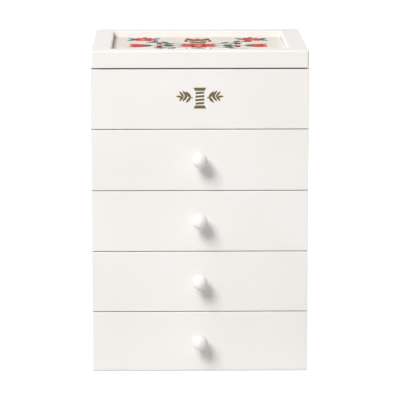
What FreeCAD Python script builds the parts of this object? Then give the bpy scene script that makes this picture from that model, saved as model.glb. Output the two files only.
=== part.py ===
import FreeCAD, Part
import math
import os
import Sketcher

# Thread drawer box: a painted wooden cabinet that stands on its base, with four drawers,
# an open compartment above them and a hinged lid that frames a stretched piece of linen.
# +Z is up, the drawers pull out towards -Y, and the origin is the middle of the underside.
# All sizes are in millimetres.

SIZES = [
    ("width", 280, "overall width of the fronts, the sides and the lid"),
    ("depth", 255, "compartment front to back panel"),
    ("side_board", 9, "thickness of the two sides"),
    ("back_board", 9, "thickness of the back panel"),
    ("shelf_board", 6, "thickness of the base, the shelves and the compartment floor"),
    ("front_board", 12, "thickness of the drawer fronts and the compartment front"),
    ("groove", 3, "depth of the grooves that hold the shelves in the sides"),
    ("back_rebate", 4.5, "depth of the rebate that holds the back panel"),
    ("drawer_count", 4, "number of drawers"),
    ("opening", 74, "clear height of one drawer opening"),
    ("compartment", 72, "clear height of the compartment under the lid"),
    ("front_gap", 1, "gap between one front and the next"),
    ("edge_round", 0.8, "rounding of the fronts' edges"),
    ("stop_gap", 0.3, "gap behind a closed drawer front"),
    ("running_gap", 0.3, "gap under a drawer box"),
    ("side_gap", 1, "gap on each side of a drawer box"),
    ("rear_gap", 6, "gap behind a drawer box"),
    ("box_high", 66, "height of the drawer sides"),
    ("box_board", 6, "thickness of the drawer sides and back"),
    ("dado", 4, "depth of the grooves in a drawer front"),
    ("box_groove", 3, "depth of the grooves in the drawer sides"),
    ("box_floor", 3, "thickness of the drawer bottom"),
    ("floor_rise", 4, "height of the drawer bottom above the drawer sides' lower edges"),
    ("columns", 3, "columns of thread in a drawer"),
    ("divider_board", 3, "thickness of a divider"),
    ("divider_high", 44, "height of a divider"),
    ("divider_dado", 2, "depth of the grooves that hold the dividers"),
    ("box_round", 1, "rounding of the drawer box's top edges"),
    ("divider_round", 0.8, "rounding of the dividers' top edges"),
    ("knob_ball", 10, "radius of the knob's ball"),
    ("knob_reach", 25, "how far a knob stands out"),
    ("knob_neck", 4.5, "radius of the knob's neck where it meets the ball"),
    ("knob_foot", 6, "radius of the knob's foot"),
    ("knob_cove", 2, "rounding between neck and ball"),
    ("knob_rise", 1.7, "how far a knob sits above the middle of its front"),
    ("knob_bore", 11, "depth of the screw hole in a knob"),
    ("knob_screw", 2, "radius of the knob screw"),
    ("screw_hold", 10, "length of the knob screw inside the knob"),
    ("pan_head", 4, "radius of the knob screw's head"),
    ("pan_high", 2.4, "height of the knob screw's head"),
    ("pan_bevel", 0.8, "bevel round the knob screw's head"),
    ("hole_play", 0.1, "clearance round a screw"),
    ("lid_board", 22, "thickness of the lid frame"),
    ("lid_rail", 25.5, "width of the lid frame's members"),
    ("lid_recess", 8.2, "depth of the linen below the frame's top"),
    ("lid_corner", 3, "rounding of the lid's upright corners"),
    ("lid_round", 2, "rounding of the lid's top edges"),
    ("lid_inner_round", 1.5, "rounding of the frame's inner top edges"),
    ("lid_panel_board", 5, "thickness of the lid panel"),
    ("lid_groove", 5, "depth of the groove for the lid panel"),
    ("mount_board", 2.4, "thickness of the board under the linen"),
    ("linen", 0.6, "thickness of the linen"),
    ("linen_play", 0.1, "gap round the linen and its board"),
    ("leaf", 1, "thickness of a hinge leaf"),
    ("leaf_deep", 10, "hinge axis to the leaf's inner edge"),
    ("hinge_long", 38, "length of a hinge"),
    ("middle_knuckle", 13, "length of the middle knuckle"),
    ("knuckle_play", 0.15, "gap between knuckles"),
    ("barrel", 2, "radius of the hinge barrel"),
    ("barrel_play", 0.25, "gap round the barrel"),
    ("pin", 0.8, "radius of the hinge pin"),
    ("pin_play", 0.05, "clearance round the hinge pin"),
    ("tail", 7, "hinge axis to the end of a stop tail"),
    ("tail_drop", 50, "angle of the lower stop tail below level, in degrees"),
    ("lid_opening", 100, "angle at which the stop tails meet, in degrees"),
    ("hinge_inset", 60, "outer face of a side to the middle of the hinge near it"),
    ("screws_per_leaf", 3, "screws in one hinge leaf"),
    ("screw_spacing", 12.5, "distance between the screws in a leaf"),
    ("screw_inset", 6.5, "hinge axis to the screws"),
    ("wood_screw", 0.9, "radius of a hinge screw"),
    ("wood_screw_long", 9, "length of a hinge screw"),
    ("wood_screw_head", 1.8, "radius of a hinge screw's head"),
    ("pad", 3.5, "radius of a lid bumper"),
    ("pad_set_back", 32, "front edge of the sides to the middle of a bumper"),
    ("rest_gap", 0.1, "gap between a bumper and the closed lid"),
]

# Places that follow from the sizes above, in the order in which they depend on each other.
PLACES = [
    ("half_width", "Sizes.width / 2"),
    ("front_face", "-Sizes.depth / 2"),
    ("back_face", "Sizes.depth / 2"),
    ("carcass_front", "Places.front_face + Sizes.front_board"),
    ("inner_back", "Places.back_face - Sizes.back_board"),
    ("inner_half", "Places.half_width - Sizes.side_board"),
    ("pitch", "Sizes.opening + Sizes.shelf_board"),
    ("floor_under", "Places.pitch * Sizes.drawer_count"),
    ("rim", "Places.floor_under + Sizes.shelf_board + Sizes.compartment"),
    ("lid_under", "Places.rim + 2 * Sizes.leaf"),
    ("lid_top", "Places.lid_under + Sizes.lid_board"),
    ("frame_half_x", "Places.half_width - Sizes.lid_rail"),
    ("frame_half_y", "Places.back_face - Sizes.lid_rail"),
    ("linen_top", "Places.lid_top - Sizes.lid_recess"),
    ("mount_top", "Places.linen_top - Sizes.linen"),
    ("panel_top", "Places.mount_top - Sizes.mount_board"),
    ("hinge_middle", "Places.half_width - Sizes.hinge_inset"),
    ("axis_y", "Places.back_face + Sizes.barrel + Sizes.barrel_play"),
    ("axis_z", "Places.rim + Sizes.leaf"),
    ("front_rear", "Places.carcass_front - Sizes.stop_gap"),
    ("box_half", "Places.inner_half - Sizes.side_gap"),
    ("box_inner", "Places.box_half - Sizes.box_board"),
    ("box_under", "Sizes.shelf_board + Sizes.running_gap"),
    ("box_rear", "Places.inner_back - Sizes.rear_gap"),
    ("box_back_face", "Places.box_rear - Sizes.box_board"),
    ("box_floor_under", "Places.box_under + Sizes.floor_rise"),
    ("box_floor_top", "Places.box_floor_under + Sizes.box_floor"),
    ("dividers_wide", "(Sizes.columns - 1) * Sizes.divider_board"),
    ("column_wide", "(2 * Places.box_inner - Places.dividers_wide) / Sizes.columns"),
    ("divider_pitch", "Places.column_wide + Sizes.divider_board"),
    ("first_divider", "-Places.box_inner + Places.column_wide"),
    ("knob_height", "(Places.pitch + Sizes.front_gap) / 2 + Sizes.knob_rise"),
]

PAST = "5"  # how far a cutting shape runs past what it cuts

doc = FreeCAD.newDocument("thread_drawer_box")
sheet = doc.addObject("Spreadsheet::Sheet", "Sizes")
for row, (alias, value, note) in enumerate(SIZES, start=1):
    sheet.set(f"A{row}", note)
    sheet.set(f"B{row}", str(value))
    sheet.setAlias(f"B{row}", alias)
doc.recompute()

places = doc.addObject("App::VarSet", "Places")
for name, formula in PLACES:
    places.addProperty("App::PropertyFloat", name, "Places")
    places.setExpression(name, formula)
    doc.recompute()

pieces = []


def keep(piece, label):
    """Name a finished piece, which is then written under that name."""
    piece.Label = label
    pieces.append(piece)
    return piece


# ---------------------------------------------------------------- sketches and features


def new_sketch(body, name, plane, offset="0"):
    """Sketch on one of the body's own origin planes, or that far along the plane's normal."""
    sketch = body.newObject("Sketcher::SketchObject", name)
    support = next(f for f in body.Origin.OriginFeatures if f.Role == plane)
    sketch.AttachmentSupport = [(support, "")]
    sketch.MapMode = "FlatFace"
    sketch.setExpression("AttachmentOffset.Base.z", offset)
    return sketch


def hold(sketch, constraint, formula):
    """Add a dimension that follows a formula."""
    index = sketch.addConstraint(constraint)
    sketch.setExpression(f"Constraints[{index}]", formula)


def outline(sketch, corners):
    """Closed straight-sided outline through corners given as pairs of formulas."""
    first = sketch.GeometryCount
    count = len(corners)
    spots = []
    for across, along in corners:
        spots.append(FreeCAD.Vector(sketch.evalExpression(across), sketch.evalExpression(along), 0))
    sides = [Part.LineSegment(spots[i], spots[(i + 1) % count]) for i in range(count)]
    sketch.addGeometry(sides, False)
    for i in range(count):
        following = first + (i + 1) % count
        sketch.addConstraint(Sketcher.Constraint("Coincident", first + i, 2, following, 1))
    for i, (across, along) in enumerate(corners):
        hold(sketch, Sketcher.Constraint("DistanceX", -1, 1, first + i, 1, spots[i].x), across)
        hold(sketch, Sketcher.Constraint("DistanceY", -1, 1, first + i, 1, spots[i].y), along)


def rectangle(sketch, left, right, low, high):
    """Rectangle between two positions across and two along."""
    outline(sketch, [(left, low), (right, low), (right, high), (left, high)])


def circle(sketch, across, along, radius):
    """Circle with its centre and radius held by formulas."""
    centre = FreeCAD.Vector(sketch.evalExpression(across), sketch.evalExpression(along), 0)
    size = sketch.evalExpression(radius)
    up = FreeCAD.Vector(0, 0, 1)
    index = sketch.addGeometry(Part.Circle(centre, up, size), False)
    hold(sketch, Sketcher.Constraint("DistanceX", -1, 1, index, 3, centre.x), across)
    hold(sketch, Sketcher.Constraint("DistanceY", -1, 1, index, 3, centre.y), along)
    hold(sketch, Sketcher.Constraint("Radius", index, size), radius)


def pad(body, sketch, name, length, reverse=False):
    """Pad a sketch along its normal, or against it."""
    feature = body.newObject("PartDesign::Pad", name)
    feature.Profile = sketch
    feature.Reversed = reverse
    feature.setExpression("Length", length)
    doc.recompute()
    return feature


def pocket(body, sketch, name, length, reverse=False):
    """Cut a sketch against its normal, or along it."""
    feature = body.newObject("PartDesign::Pocket", name)
    feature.Profile = sketch
    feature.Reversed = reverse
    feature.setExpression("Length", length)
    doc.recompute()
    return feature


def repeat(body, feature, name, axis, count, spacing):
    """Repeat a feature along one of the body's axes."""
    pattern = body.newObject("PartDesign::LinearPattern", name)
    pattern.Originals = [feature]
    line = next(f for f in body.Origin.OriginFeatures if f.Role == axis)
    pattern.Direction = (line, [""])
    pattern.Mode = "Spacing"
    pattern.setExpression("Occurrences", count)
    pattern.setExpression("Offset", spacing)
    body.Tip = pattern
    doc.recompute()
    return pattern


def mirror(body, feature, name, plane):
    """Mirror a feature in one of the body's origin planes."""
    mirrored = body.newObject("PartDesign::Mirrored", name)
    mirrored.Originals = [feature]
    support = next(f for f in body.Origin.OriginFeatures if f.Role == plane)
    mirrored.MirrorPlane = (support, [""])
    body.Tip = mirrored
    doc.recompute()
    return mirrored


def edges_in(shape, wanted):
    """Names of the edges of which both ends and the middle lie where wanted() says."""
    names = []
    for number, edge in enumerate(shape.Edges, start=1):
        if not edge.Degenerated and all(wanted(point) for point in edge.discretize(3)):
            names.append(f"Edge{number}")
    return names


def round_edges(body, base, name, radius, wanted):
    """Round the edges of the base feature that lie where wanted() says."""
    fillet = body.newObject("PartDesign::Fillet", name)
    fillet.Base = (base, edges_in(base.Shape, wanted))
    fillet.setExpression("Radius", radius)
    doc.recompute()
    return fillet


def near(value, target):
    """Whether two lengths are the same to a thousandth of a millimetre."""
    return abs(value - target) < 0.001


# ---------------------------------------------------------------- cabinet


def side_panel(label, hand):
    """Side of the cabinet, with grooves for the shelves and rebates for the base and back."""
    body = doc.addObject("PartDesign::Body", label)
    body.setExpression("Placement.Base.x", f"{hand} * Places.half_width")
    inwards = -hand
    face = new_sketch(body, "board_outline", "YZ_Plane")
    rectangle(face, "Places.carcass_front", "Places.back_face", "0", "Places.rim")
    pad(body, face, "board", "Sizes.side_board", reverse=inwards < 0)

    inner = f"{inwards} * Sizes.side_board"
    slot = new_sketch(body, "shelf_groove_outline", "YZ_Plane", inner)
    rectangle(slot, f"Places.carcass_front - {PAST}", "Places.inner_back",
              "Places.pitch", "Places.pitch + Sizes.shelf_board")
    cut = pocket(body, slot, "shelf_groove", "Sizes.groove", reverse=inwards < 0)
    repeat(body, cut, "shelf_grooves", "Z_Axis", "Sizes.drawer_count", "Places.pitch")

    foot = new_sketch(body, "base_rebate_outline", "YZ_Plane", inner)
    rectangle(foot, f"Places.carcass_front - {PAST}", "Places.inner_back",
              f"-{PAST}", "Sizes.shelf_board")
    pocket(body, foot, "base_rebate", "Sizes.groove", reverse=inwards < 0)

    rear = new_sketch(body, "back_rebate_outline", "YZ_Plane", inner)
    rectangle(rear, "Places.inner_back", f"Places.back_face + {PAST}",
              f"-{PAST}", f"Places.rim + {PAST}")
    pocket(body, rear, "back_rebate", "Sizes.back_rebate", reverse=inwards < 0)
    return keep(body, label)


def level_board(label, under):
    """Base, shelf or compartment floor: a board that ends in the sides' grooves."""
    body = doc.addObject("PartDesign::Body", label)
    body.setExpression("Placement.Base.z", under)
    plan = new_sketch(body, "board_outline", "XY_Plane")
    reach = "(Places.inner_half + Sizes.groove)"
    rectangle(plan, f"-{reach}", reach, "Places.carcass_front", "Places.inner_back")
    pad(body, plan, "board", "Sizes.shelf_board")
    return keep(body, label)


def compartment_front():
    """Fixed front of the top compartment, flush with the drawer fronts below it."""
    body = doc.addObject("PartDesign::Body", "compartment_front")
    body.setExpression("Placement.Base.y", "Places.front_face")
    face = new_sketch(body, "front_outline", "XZ_Plane")
    rectangle(face, "-Places.half_width", "Places.half_width",
              "Places.floor_under + Sizes.front_gap", "Places.rim")
    board = pad(body, face, "front_board", "Sizes.front_board", reverse=True)
    round_edges(body, board, "eased_edges", "Sizes.edge_round", lambda p: near(p.y, 0))
    return keep(body, "compartment_front")


def back_panel(pilot_holes):
    """Back panel in the sides' rebates, drilled at its top edge for the hinge screws."""
    body = doc.addObject("PartDesign::Body", "back_board")
    plan = new_sketch(body, "board_outline", "XY_Plane")
    reach = "(Places.half_width - Sizes.side_board + Sizes.back_rebate)"
    rectangle(plan, f"-{reach}", reach, "Places.inner_back", "Places.back_face")
    pad(body, plan, "board", "Places.rim")
    panel = doc.addObject("Part::Cut", "drilled_back")
    panel.Base = body
    panel.Tool = pilot_holes
    return keep(panel, "back_panel")


def lid_bumpers():
    """Two felt dots on the sides' top edges, on which the closed lid rests."""
    dots = []
    for hand in (-1, 1):
        dot = doc.addObject("Part::Cylinder", "bumper")
        dot.setExpression("Radius", "Sizes.pad")
        dot.setExpression("Height", "2 * Sizes.leaf - Sizes.rest_gap")
        dot.setExpression("Placement.Base.x", f"{hand} * (Places.half_width - Sizes.side_board / 2)")
        dot.setExpression("Placement.Base.y", "Places.carcass_front + Sizes.pad_set_back")
        dot.setExpression("Placement.Base.z", "Places.rim")
        dots.append(dot)
    both = doc.addObject("Part::Compound", "both_bumpers")
    both.Links = dots
    return keep(both, "lid_bumpers")


# ---------------------------------------------------------------- hinges


def place_on_axis(shape, along):
    """Lay an upright cylinder along the hinge axis, starting at a position along it."""
    shape.Placement.Rotation = FreeCAD.Rotation(FreeCAD.Vector(0, 1, 0), 90)
    shape.setExpression("Placement.Base.x", along)
    shape.setExpression("Placement.Base.y", "Places.axis_y")
    shape.setExpression("Placement.Base.z", "Places.axis_z")


def axis_cylinder(name, radius, start, length):
    """Cylinder about the hinge axis."""
    shape = doc.addObject("Part::Cylinder", name)
    shape.setExpression("Radius", radius)
    shape.setExpression("Height", length)
    place_on_axis(shape, start)
    return shape


def leaf_plate(name, middle, hand):
    """Flat of a leaf, below (hand -1) or above (hand 1) the plane through the hinge axis."""
    plate = doc.addObject("Part::Box", name)
    plate.setExpression("Length", "Sizes.hinge_long")
    plate.setExpression("Width", "Sizes.leaf_deep")
    plate.setExpression("Height", "Sizes.leaf")
    plate.setExpression("Placement.Base.x", f"{middle} - Sizes.hinge_long / 2")
    plate.setExpression("Placement.Base.y", "Places.axis_y - Sizes.leaf_deep")
    plate.setExpression("Placement.Base.z", f"Places.axis_z + {min(hand, 0)} * Sizes.leaf")
    return plate


def stop_tail(name, start, length, angle, hand):
    """Tail of a leaf beyond the barrel: its inner face lies in a plane through the hinge axis."""
    tail = doc.addObject("Part::Box", name)
    tail.setExpression("Length", length)
    tail.setExpression("Width", "Sizes.tail")
    tail.setExpression("Height", "Sizes.leaf")
    tail.setExpression("Placement.Rotation.Axis.x", "1")
    tail.setExpression("Placement.Rotation.Axis.z", "0")
    tail.setExpression("Placement.Rotation.Angle", angle)
    tail.setExpression("Placement.Base.x", start)
    lift = f"{min(hand, 0)} * Sizes.leaf"
    tail.setExpression("Placement.Base.y", f"Places.axis_y - {lift} * sin({angle} * 1deg)")
    tail.setExpression("Placement.Base.z", f"Places.axis_z + {lift} * cos({angle} * 1deg)")
    return tail


def fuse(name, shapes):
    """Join shapes into one solid."""
    joined = doc.addObject("Part::MultiFuse", name)
    joined.Shapes = shapes
    joined.Refine = True
    return joined


def cut(name, base, tools):
    """Take the tools away from the base."""
    rest = doc.addObject("Part::Cut", name)
    rest.Base = base
    rest.Tool = fuse(f"{name}_tools", tools)
    return rest


def screw_spots(middle):
    """Positions of a leaf's screws along the hinge axis."""
    count = round(sheet.screws_per_leaf)
    return [f"{middle} + {i - (count - 1) / 2} * Sizes.screw_spacing" for i in range(count)]


def hinge_screw(name, along, hand, play):
    """Countersunk wood screw through a leaf, pointing down (hand -1) or up (hand 1)."""
    head = doc.addObject("Part::Cone", f"{name}_head")
    head.setExpression("Radius1", f"Sizes.wood_screw_head + {play}")
    head.setExpression("Radius2", f"Sizes.wood_screw + {play}")
    head.setExpression("Height", "Sizes.leaf")
    shank = doc.addObject("Part::Cylinder", f"{name}_shank")
    shank.setExpression("Radius", f"Sizes.wood_screw + {play}")
    shank.setExpression("Height", f"Sizes.wood_screw_long + {play}")
    screw = fuse(name, [head, shank])
    for part in (head, shank):
        if hand < 0:
            part.Placement.Rotation = FreeCAD.Rotation(FreeCAD.Vector(1, 0, 0), 180)
        part.setExpression("Placement.Base.x", along)
        part.setExpression("Placement.Base.y", "Places.axis_y - Sizes.screw_inset")
        part.setExpression("Placement.Base.z", "Places.axis_z")
    return screw


def screw_group(name, hand, play):
    """All the screws on one side of both hinges, or with play the holes that take them."""
    screws = []
    for side in (-1, 1):
        middle = f"({side} * Places.hinge_middle)"
        for along in screw_spots(middle):
            screws.append(hinge_screw(name, along, hand, play))
    group = doc.addObject("Part::Compound", f"{name}_group")
    group.Links = screws
    return group


def body_leaf(label, middle):
    """Lower leaf: the two outer knuckles, the flat on the back panel and the lower stop tail."""
    outer = "(Sizes.hinge_long - Sizes.middle_knuckle) / 2 - Sizes.knuckle_play"
    left_end = f"{middle} - Sizes.hinge_long / 2"
    right_start = f"{middle} + Sizes.middle_knuckle / 2 + Sizes.knuckle_play"
    knuckles = [
        axis_cylinder("left_knuckle", "Sizes.barrel", left_end, outer),
        axis_cylinder("right_knuckle", "Sizes.barrel", right_start, outer),
    ]
    tail = stop_tail("lower_tail", left_end, "Sizes.hinge_long", "-Sizes.tail_drop", -1)
    blank = fuse("lower_leaf_blank", knuckles + [leaf_plate("lower_flat", middle, -1), tail])
    notch = axis_cylinder(
        "knuckle_notch",
        "Sizes.barrel + Sizes.barrel_play",
        f"{middle} - Sizes.middle_knuckle / 2 - Sizes.knuckle_play",
        "Sizes.middle_knuckle + 2 * Sizes.knuckle_play",
    )
    bore = axis_cylinder("pin_bore", "Sizes.pin + Sizes.pin_play", left_end, "Sizes.hinge_long")
    holes = [hinge_screw("leaf_hole", spot, -1, "Sizes.hole_play") for spot in screw_spots(middle)]
    return keep(cut("lower_leaf", blank, [notch, bore] + holes), label)


def lid_leaf(label, middle):
    """Upper leaf: the middle knuckle, the flat under the lid and the upper stop tail."""
    start = f"{middle} - Sizes.middle_knuckle / 2"
    knuckle = axis_cylinder("middle_knuckle", "Sizes.barrel", start, "Sizes.middle_knuckle")
    rise = "Sizes.lid_opening + 1 - Sizes.tail_drop"
    tail = stop_tail("upper_tail", start, "Sizes.middle_knuckle", f"({rise})", 1)
    blank = fuse("upper_leaf_blank", [knuckle, leaf_plate("upper_flat", middle, 1), tail])
    side_notch = "(Sizes.hinge_long - Sizes.middle_knuckle) / 2"
    notches = [
        axis_cylinder("left_notch", "Sizes.barrel + Sizes.barrel_play",
                      f"{middle} - Sizes.hinge_long / 2", side_notch),
        axis_cylinder("right_notch", "Sizes.barrel + Sizes.barrel_play",
                      f"{middle} + Sizes.middle_knuckle / 2", side_notch),
    ]
    bore = axis_cylinder("pin_bore", "Sizes.pin + Sizes.pin_play", start, "Sizes.middle_knuckle")
    holes = [hinge_screw("leaf_hole", spot, 1, "Sizes.hole_play") for spot in screw_spots(middle)]
    return keep(cut("upper_leaf", blank, notches + [bore] + holes), label)


def hinge_pin(label, middle):
    """Pin through the three knuckles of a hinge."""
    start = f"{middle} - Sizes.hinge_long / 2"
    return keep(axis_cylinder("hinge_pin", "Sizes.pin", start, "Sizes.hinge_long"), label)


# ---------------------------------------------------------------- lid


def lid_frame():
    """Lid frame in one piece, grooved for the panel, before it is divided at its mitres."""
    body = doc.addObject("PartDesign::Body", "lid_frame")
    body.setExpression("Placement.Base.z", "Places.lid_under")
    plan = new_sketch(body, "frame_outline", "XY_Plane")
    rectangle(plan, "-Places.half_width", "Places.half_width", "Places.front_face", "Places.back_face")
    rectangle(plan, "-Places.frame_half_x", "Places.frame_half_x",
              "-Places.frame_half_y", "Places.frame_half_y")
    blank = pad(body, plan, "frame_blank", "Sizes.lid_board")

    width = places.half_width
    depth = places.back_face
    inner_width = places.frame_half_x
    inner_depth = places.frame_half_y
    top = sheet.lid_board
    corners = round_edges(
        body, blank, "upright_corners", "Sizes.lid_corner",
        lambda p: near(abs(p.x), width) and near(abs(p.y), depth))
    outside = round_edges(
        body, corners, "top_outer_edge", "Sizes.lid_round",
        lambda p: near(p.z, top) and (abs(p.x) > inner_width + 1 or abs(p.y) > inner_depth + 1))
    round_edges(
        body, outside, "top_inner_edge", "Sizes.lid_inner_round",
        lambda p: near(p.z, top) and abs(p.x) < inner_width + 0.01 and abs(p.y) < inner_depth + 0.01)

    groove = new_sketch(body, "panel_groove_outline", "XY_Plane", "Places.panel_top - Places.lid_under")
    reach_x = "(Places.frame_half_x + Sizes.lid_groove)"
    reach_y = "(Places.frame_half_y + Sizes.lid_groove)"
    rectangle(groove, f"-{reach_x}", reach_x, f"-{reach_y}", reach_y)
    pocket(body, groove, "panel_groove", "Sizes.lid_panel_board")
    return body


def mitre_wedge(name, turned, near_end, far_end):
    """Trapezium between two mitres, along X or, when turned, along Y.

    Each end is a pair of formulas: its distance from the middle and half its length.
    """
    wedge = doc.addObject("Part::Wedge", name)
    near_edge, near_half = near_end
    far_edge, far_half = far_end
    wedge.setExpression("Ymin", near_edge)
    wedge.setExpression("Xmin", f"-{near_half}")
    wedge.setExpression("Xmax", near_half)
    wedge.setExpression("Ymax", far_edge)
    wedge.setExpression("X2min", f"-{far_half}")
    wedge.setExpression("X2max", far_half)
    for bottom in ("Zmin", "Z2min"):
        wedge.setExpression(bottom, f"Places.lid_under - {PAST}")
    for top in ("Zmax", "Z2max"):
        wedge.setExpression(top, f"Places.lid_top + {PAST}")
    if turned:
        wedge.Placement.Rotation = FreeCAD.Rotation(FreeCAD.Vector(0, 0, 1), -90)
    return wedge


def lid_member(label, frame, turned, hand):
    """One member of the lid frame: the frame's part between two mitres."""
    half_long = "Places.back_face" if turned else "Places.half_width"
    edge = "Places.half_width" if turned else "Places.back_face"
    outer_edge = f"({edge} + {PAST})"
    outer_half = f"({half_long} + {PAST})"
    inner_edge = f"({edge} - Sizes.lid_rail - {PAST})"
    inner_half = f"({half_long} - Sizes.lid_rail - {PAST})"
    if hand < 0:
        ends = (f"-{outer_edge}", outer_half), (f"-{inner_edge}", inner_half)
    else:
        ends = (inner_edge, inner_half), (outer_edge, outer_half)
    member = doc.addObject("Part::Common", f"{label}_member")
    member.Base = frame
    member.Tool = mitre_wedge(f"{label}_wedge", turned, *ends)
    return member


def lid_back_rail(frame, pilot_holes):
    """Back rail of the lid, drilled from below for the hinge screws."""
    rail = doc.addObject("Part::Cut", "drilled_back_rail")
    rail.Base = lid_member("back_rail", frame, False, 1)
    rail.Tool = pilot_holes
    return keep(rail, "lid_back_rail")


def inset_board(label, half_x, half_y, top, thickness):
    """Board that lies level inside the lid frame."""
    body = doc.addObject("PartDesign::Body", label)
    body.setExpression("Placement.Base.z", f"{top} - {thickness}")
    plan = new_sketch(body, "board_outline", "XY_Plane")
    rectangle(plan, f"-({half_x})", half_x, f"-({half_y})", half_y)
    pad(body, plan, "board", thickness)
    return keep(body, label)


# ---------------------------------------------------------------- drawers


def drawer_body(label, level):
    """Body of a drawer piece, in the opening that lies that many openings above the base."""
    body = doc.addObject("PartDesign::Body", label)
    body.setExpression("Placement.Base.z", f"{level} * Places.pitch")
    return body


def drawer_front(label, level):
    """Drawer front, grooved behind for the sides, bottom and dividers and bored for the knob."""
    body = drawer_body(label, level)
    face = new_sketch(body, "front_outline", "XZ_Plane", "-Places.front_rear")
    rectangle(face, "-Places.half_width", "Places.half_width", "Sizes.front_gap", "Places.pitch")
    board = pad(body, face, "front_board", "Sizes.front_board")
    front = places.front_rear - sheet.front_board
    round_edges(body, board, "eased_edges", "Sizes.edge_round", lambda p: near(p.y, front))

    slot = new_sketch(body, "side_dado_outline", "XZ_Plane", "-Places.front_rear")
    rectangle(slot, "Places.box_inner", "Places.box_half",
              "Places.box_under", "Places.box_under + Sizes.box_high")
    dado = pocket(body, slot, "side_dado", "Sizes.dado", reverse=True)
    mirror(body, dado, "side_dados", "YZ_Plane")

    level_slot = new_sketch(body, "floor_groove_outline", "XZ_Plane", "-Places.front_rear")
    reach = "(Places.box_inner + Sizes.box_groove)"
    rectangle(level_slot, f"-{reach}", reach, "Places.box_floor_under", "Places.box_floor_top")
    pocket(body, level_slot, "floor_groove", "Sizes.dado", reverse=True)

    upright = new_sketch(body, "divider_dado_outline", "XZ_Plane", "-Places.front_rear")
    rectangle(upright, "Places.first_divider", "Places.first_divider + Sizes.divider_board",
              "Places.box_floor_top", "Places.box_floor_top + Sizes.divider_high")
    divider = pocket(body, upright, "divider_dado", "Sizes.divider_dado", reverse=True)
    repeat(body, divider, "divider_dados", "X_Axis", "Sizes.columns - 1", "Places.divider_pitch")

    hole = new_sketch(body, "screw_hole_outline", "XZ_Plane", "-Places.front_rear")
    circle(hole, "0", "Places.knob_height", "Sizes.knob_screw + Sizes.hole_play")
    pocket(body, hole, "screw_hole", "Sizes.front_board", reverse=True)
    return keep(body, label)


def drawer_side(label, level, hand):
    """Drawer side, grooved for the bottom and rebated at the rear for the back."""
    body = drawer_body(label, level)
    face = new_sketch(body, "side_outline", "YZ_Plane", f"{hand} * Places.box_inner")
    rectangle(face, "Places.front_rear - Sizes.dado", "Places.box_rear",
              "Places.box_under", "Places.box_under + Sizes.box_high")
    board = pad(body, face, "side_board", "Sizes.box_board", reverse=hand < 0)
    top = places.box_under + sheet.box_high
    faces = (hand * places.box_inner, hand * places.box_half)
    round_edges(body, board, "eased_top", "Sizes.box_round",
                lambda p: near(p.z, top) and any(near(p.x, x) for x in faces))

    slot = new_sketch(body, "floor_groove_outline", "YZ_Plane", f"{hand} * Places.box_inner")
    rectangle(slot, f"Places.front_rear - Sizes.dado - {PAST}", f"Places.box_rear + {PAST}",
              "Places.box_floor_under", "Places.box_floor_top")
    pocket(body, slot, "floor_groove", "Sizes.box_groove", reverse=hand > 0)

    rear = new_sketch(body, "back_rebate_outline", "YZ_Plane", f"{hand} * Places.box_inner")
    rectangle(rear, "Places.box_back_face", f"Places.box_rear + {PAST}",
              "Places.box_floor_top", f"Places.box_under + Sizes.box_high + {PAST}")
    pocket(body, rear, "back_rebate", "Sizes.box_groove", reverse=hand > 0)
    return keep(body, label)


def drawer_back(label, level):
    """Drawer back between the sides, above the bottom, grooved for the dividers."""
    body = drawer_body(label, level)
    face = new_sketch(body, "back_outline", "XZ_Plane", "-Places.box_back_face")
    reach = "(Places.box_inner + Sizes.box_groove)"
    rectangle(face, f"-{reach}", reach, "Places.box_floor_top", "Places.box_under + Sizes.box_high")
    board = pad(body, face, "back_board", "Sizes.box_board", reverse=True)
    top = places.box_under + sheet.box_high
    faces = (places.box_back_face, places.box_rear)
    round_edges(body, board, "eased_top", "Sizes.box_round",
                lambda p: near(p.z, top) and any(near(p.y, y) for y in faces))

    upright = new_sketch(body, "divider_dado_outline", "XZ_Plane", "-Places.box_back_face")
    rectangle(upright, "Places.first_divider", "Places.first_divider + Sizes.divider_board",
              "Places.box_floor_top", "Places.box_floor_top + Sizes.divider_high")
    divider = pocket(body, upright, "divider_dado", "Sizes.divider_dado")
    repeat(body, divider, "divider_dados", "X_Axis", "Sizes.columns - 1", "Places.divider_pitch")
    return keep(body, label)


def drawer_bottom(label, level):
    """Thin bottom that slides into the grooves of the front and sides and passes under the back."""
    body = drawer_body(label, level)
    plan = new_sketch(body, "bottom_outline", "XY_Plane", "Places.box_floor_under")
    reach = "(Places.box_inner + Sizes.box_groove)"
    rectangle(plan, f"-{reach}", reach, "Places.front_rear - Sizes.dado", "Places.box_rear")
    pad(body, plan, "bottom_board", "Sizes.box_floor")
    return keep(body, label)


def drawer_dividers(label, level):
    """Upright boards from front to back that part the columns of thread."""
    body = drawer_body(label, level)
    face = new_sketch(body, "divider_outline", "YZ_Plane", "Places.first_divider")
    rectangle(face, "Places.front_rear - Sizes.divider_dado",
              "Places.box_back_face + Sizes.divider_dado",
              "Places.box_floor_top", "Places.box_floor_top + Sizes.divider_high")
    board = pad(body, face, "divider_board", "Sizes.divider_board")
    boards = repeat(body, board, "divider_boards", "X_Axis", "Sizes.columns - 1", "Places.divider_pitch")
    top = places.box_floor_top + sheet.divider_high
    starts = [places.first_divider + n * places.divider_pitch for n in range(round(sheet.columns) - 1)]
    faces = starts + [x + sheet.divider_board for x in starts]
    round_edges(body, boards, "eased_top", "Sizes.divider_round",
                lambda p: near(p.z, top) and any(near(p.x, x) for x in faces))
    return keep(body, label)


def on_front(body, level):
    """Put a turned piece on the middle of a drawer front, its axis along Y."""
    body.setExpression("Placement.Base.y", "Places.front_rear - Sizes.front_board")
    body.setExpression("Placement.Base.z", f"{level} * Places.pitch + Places.knob_height")


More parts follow.
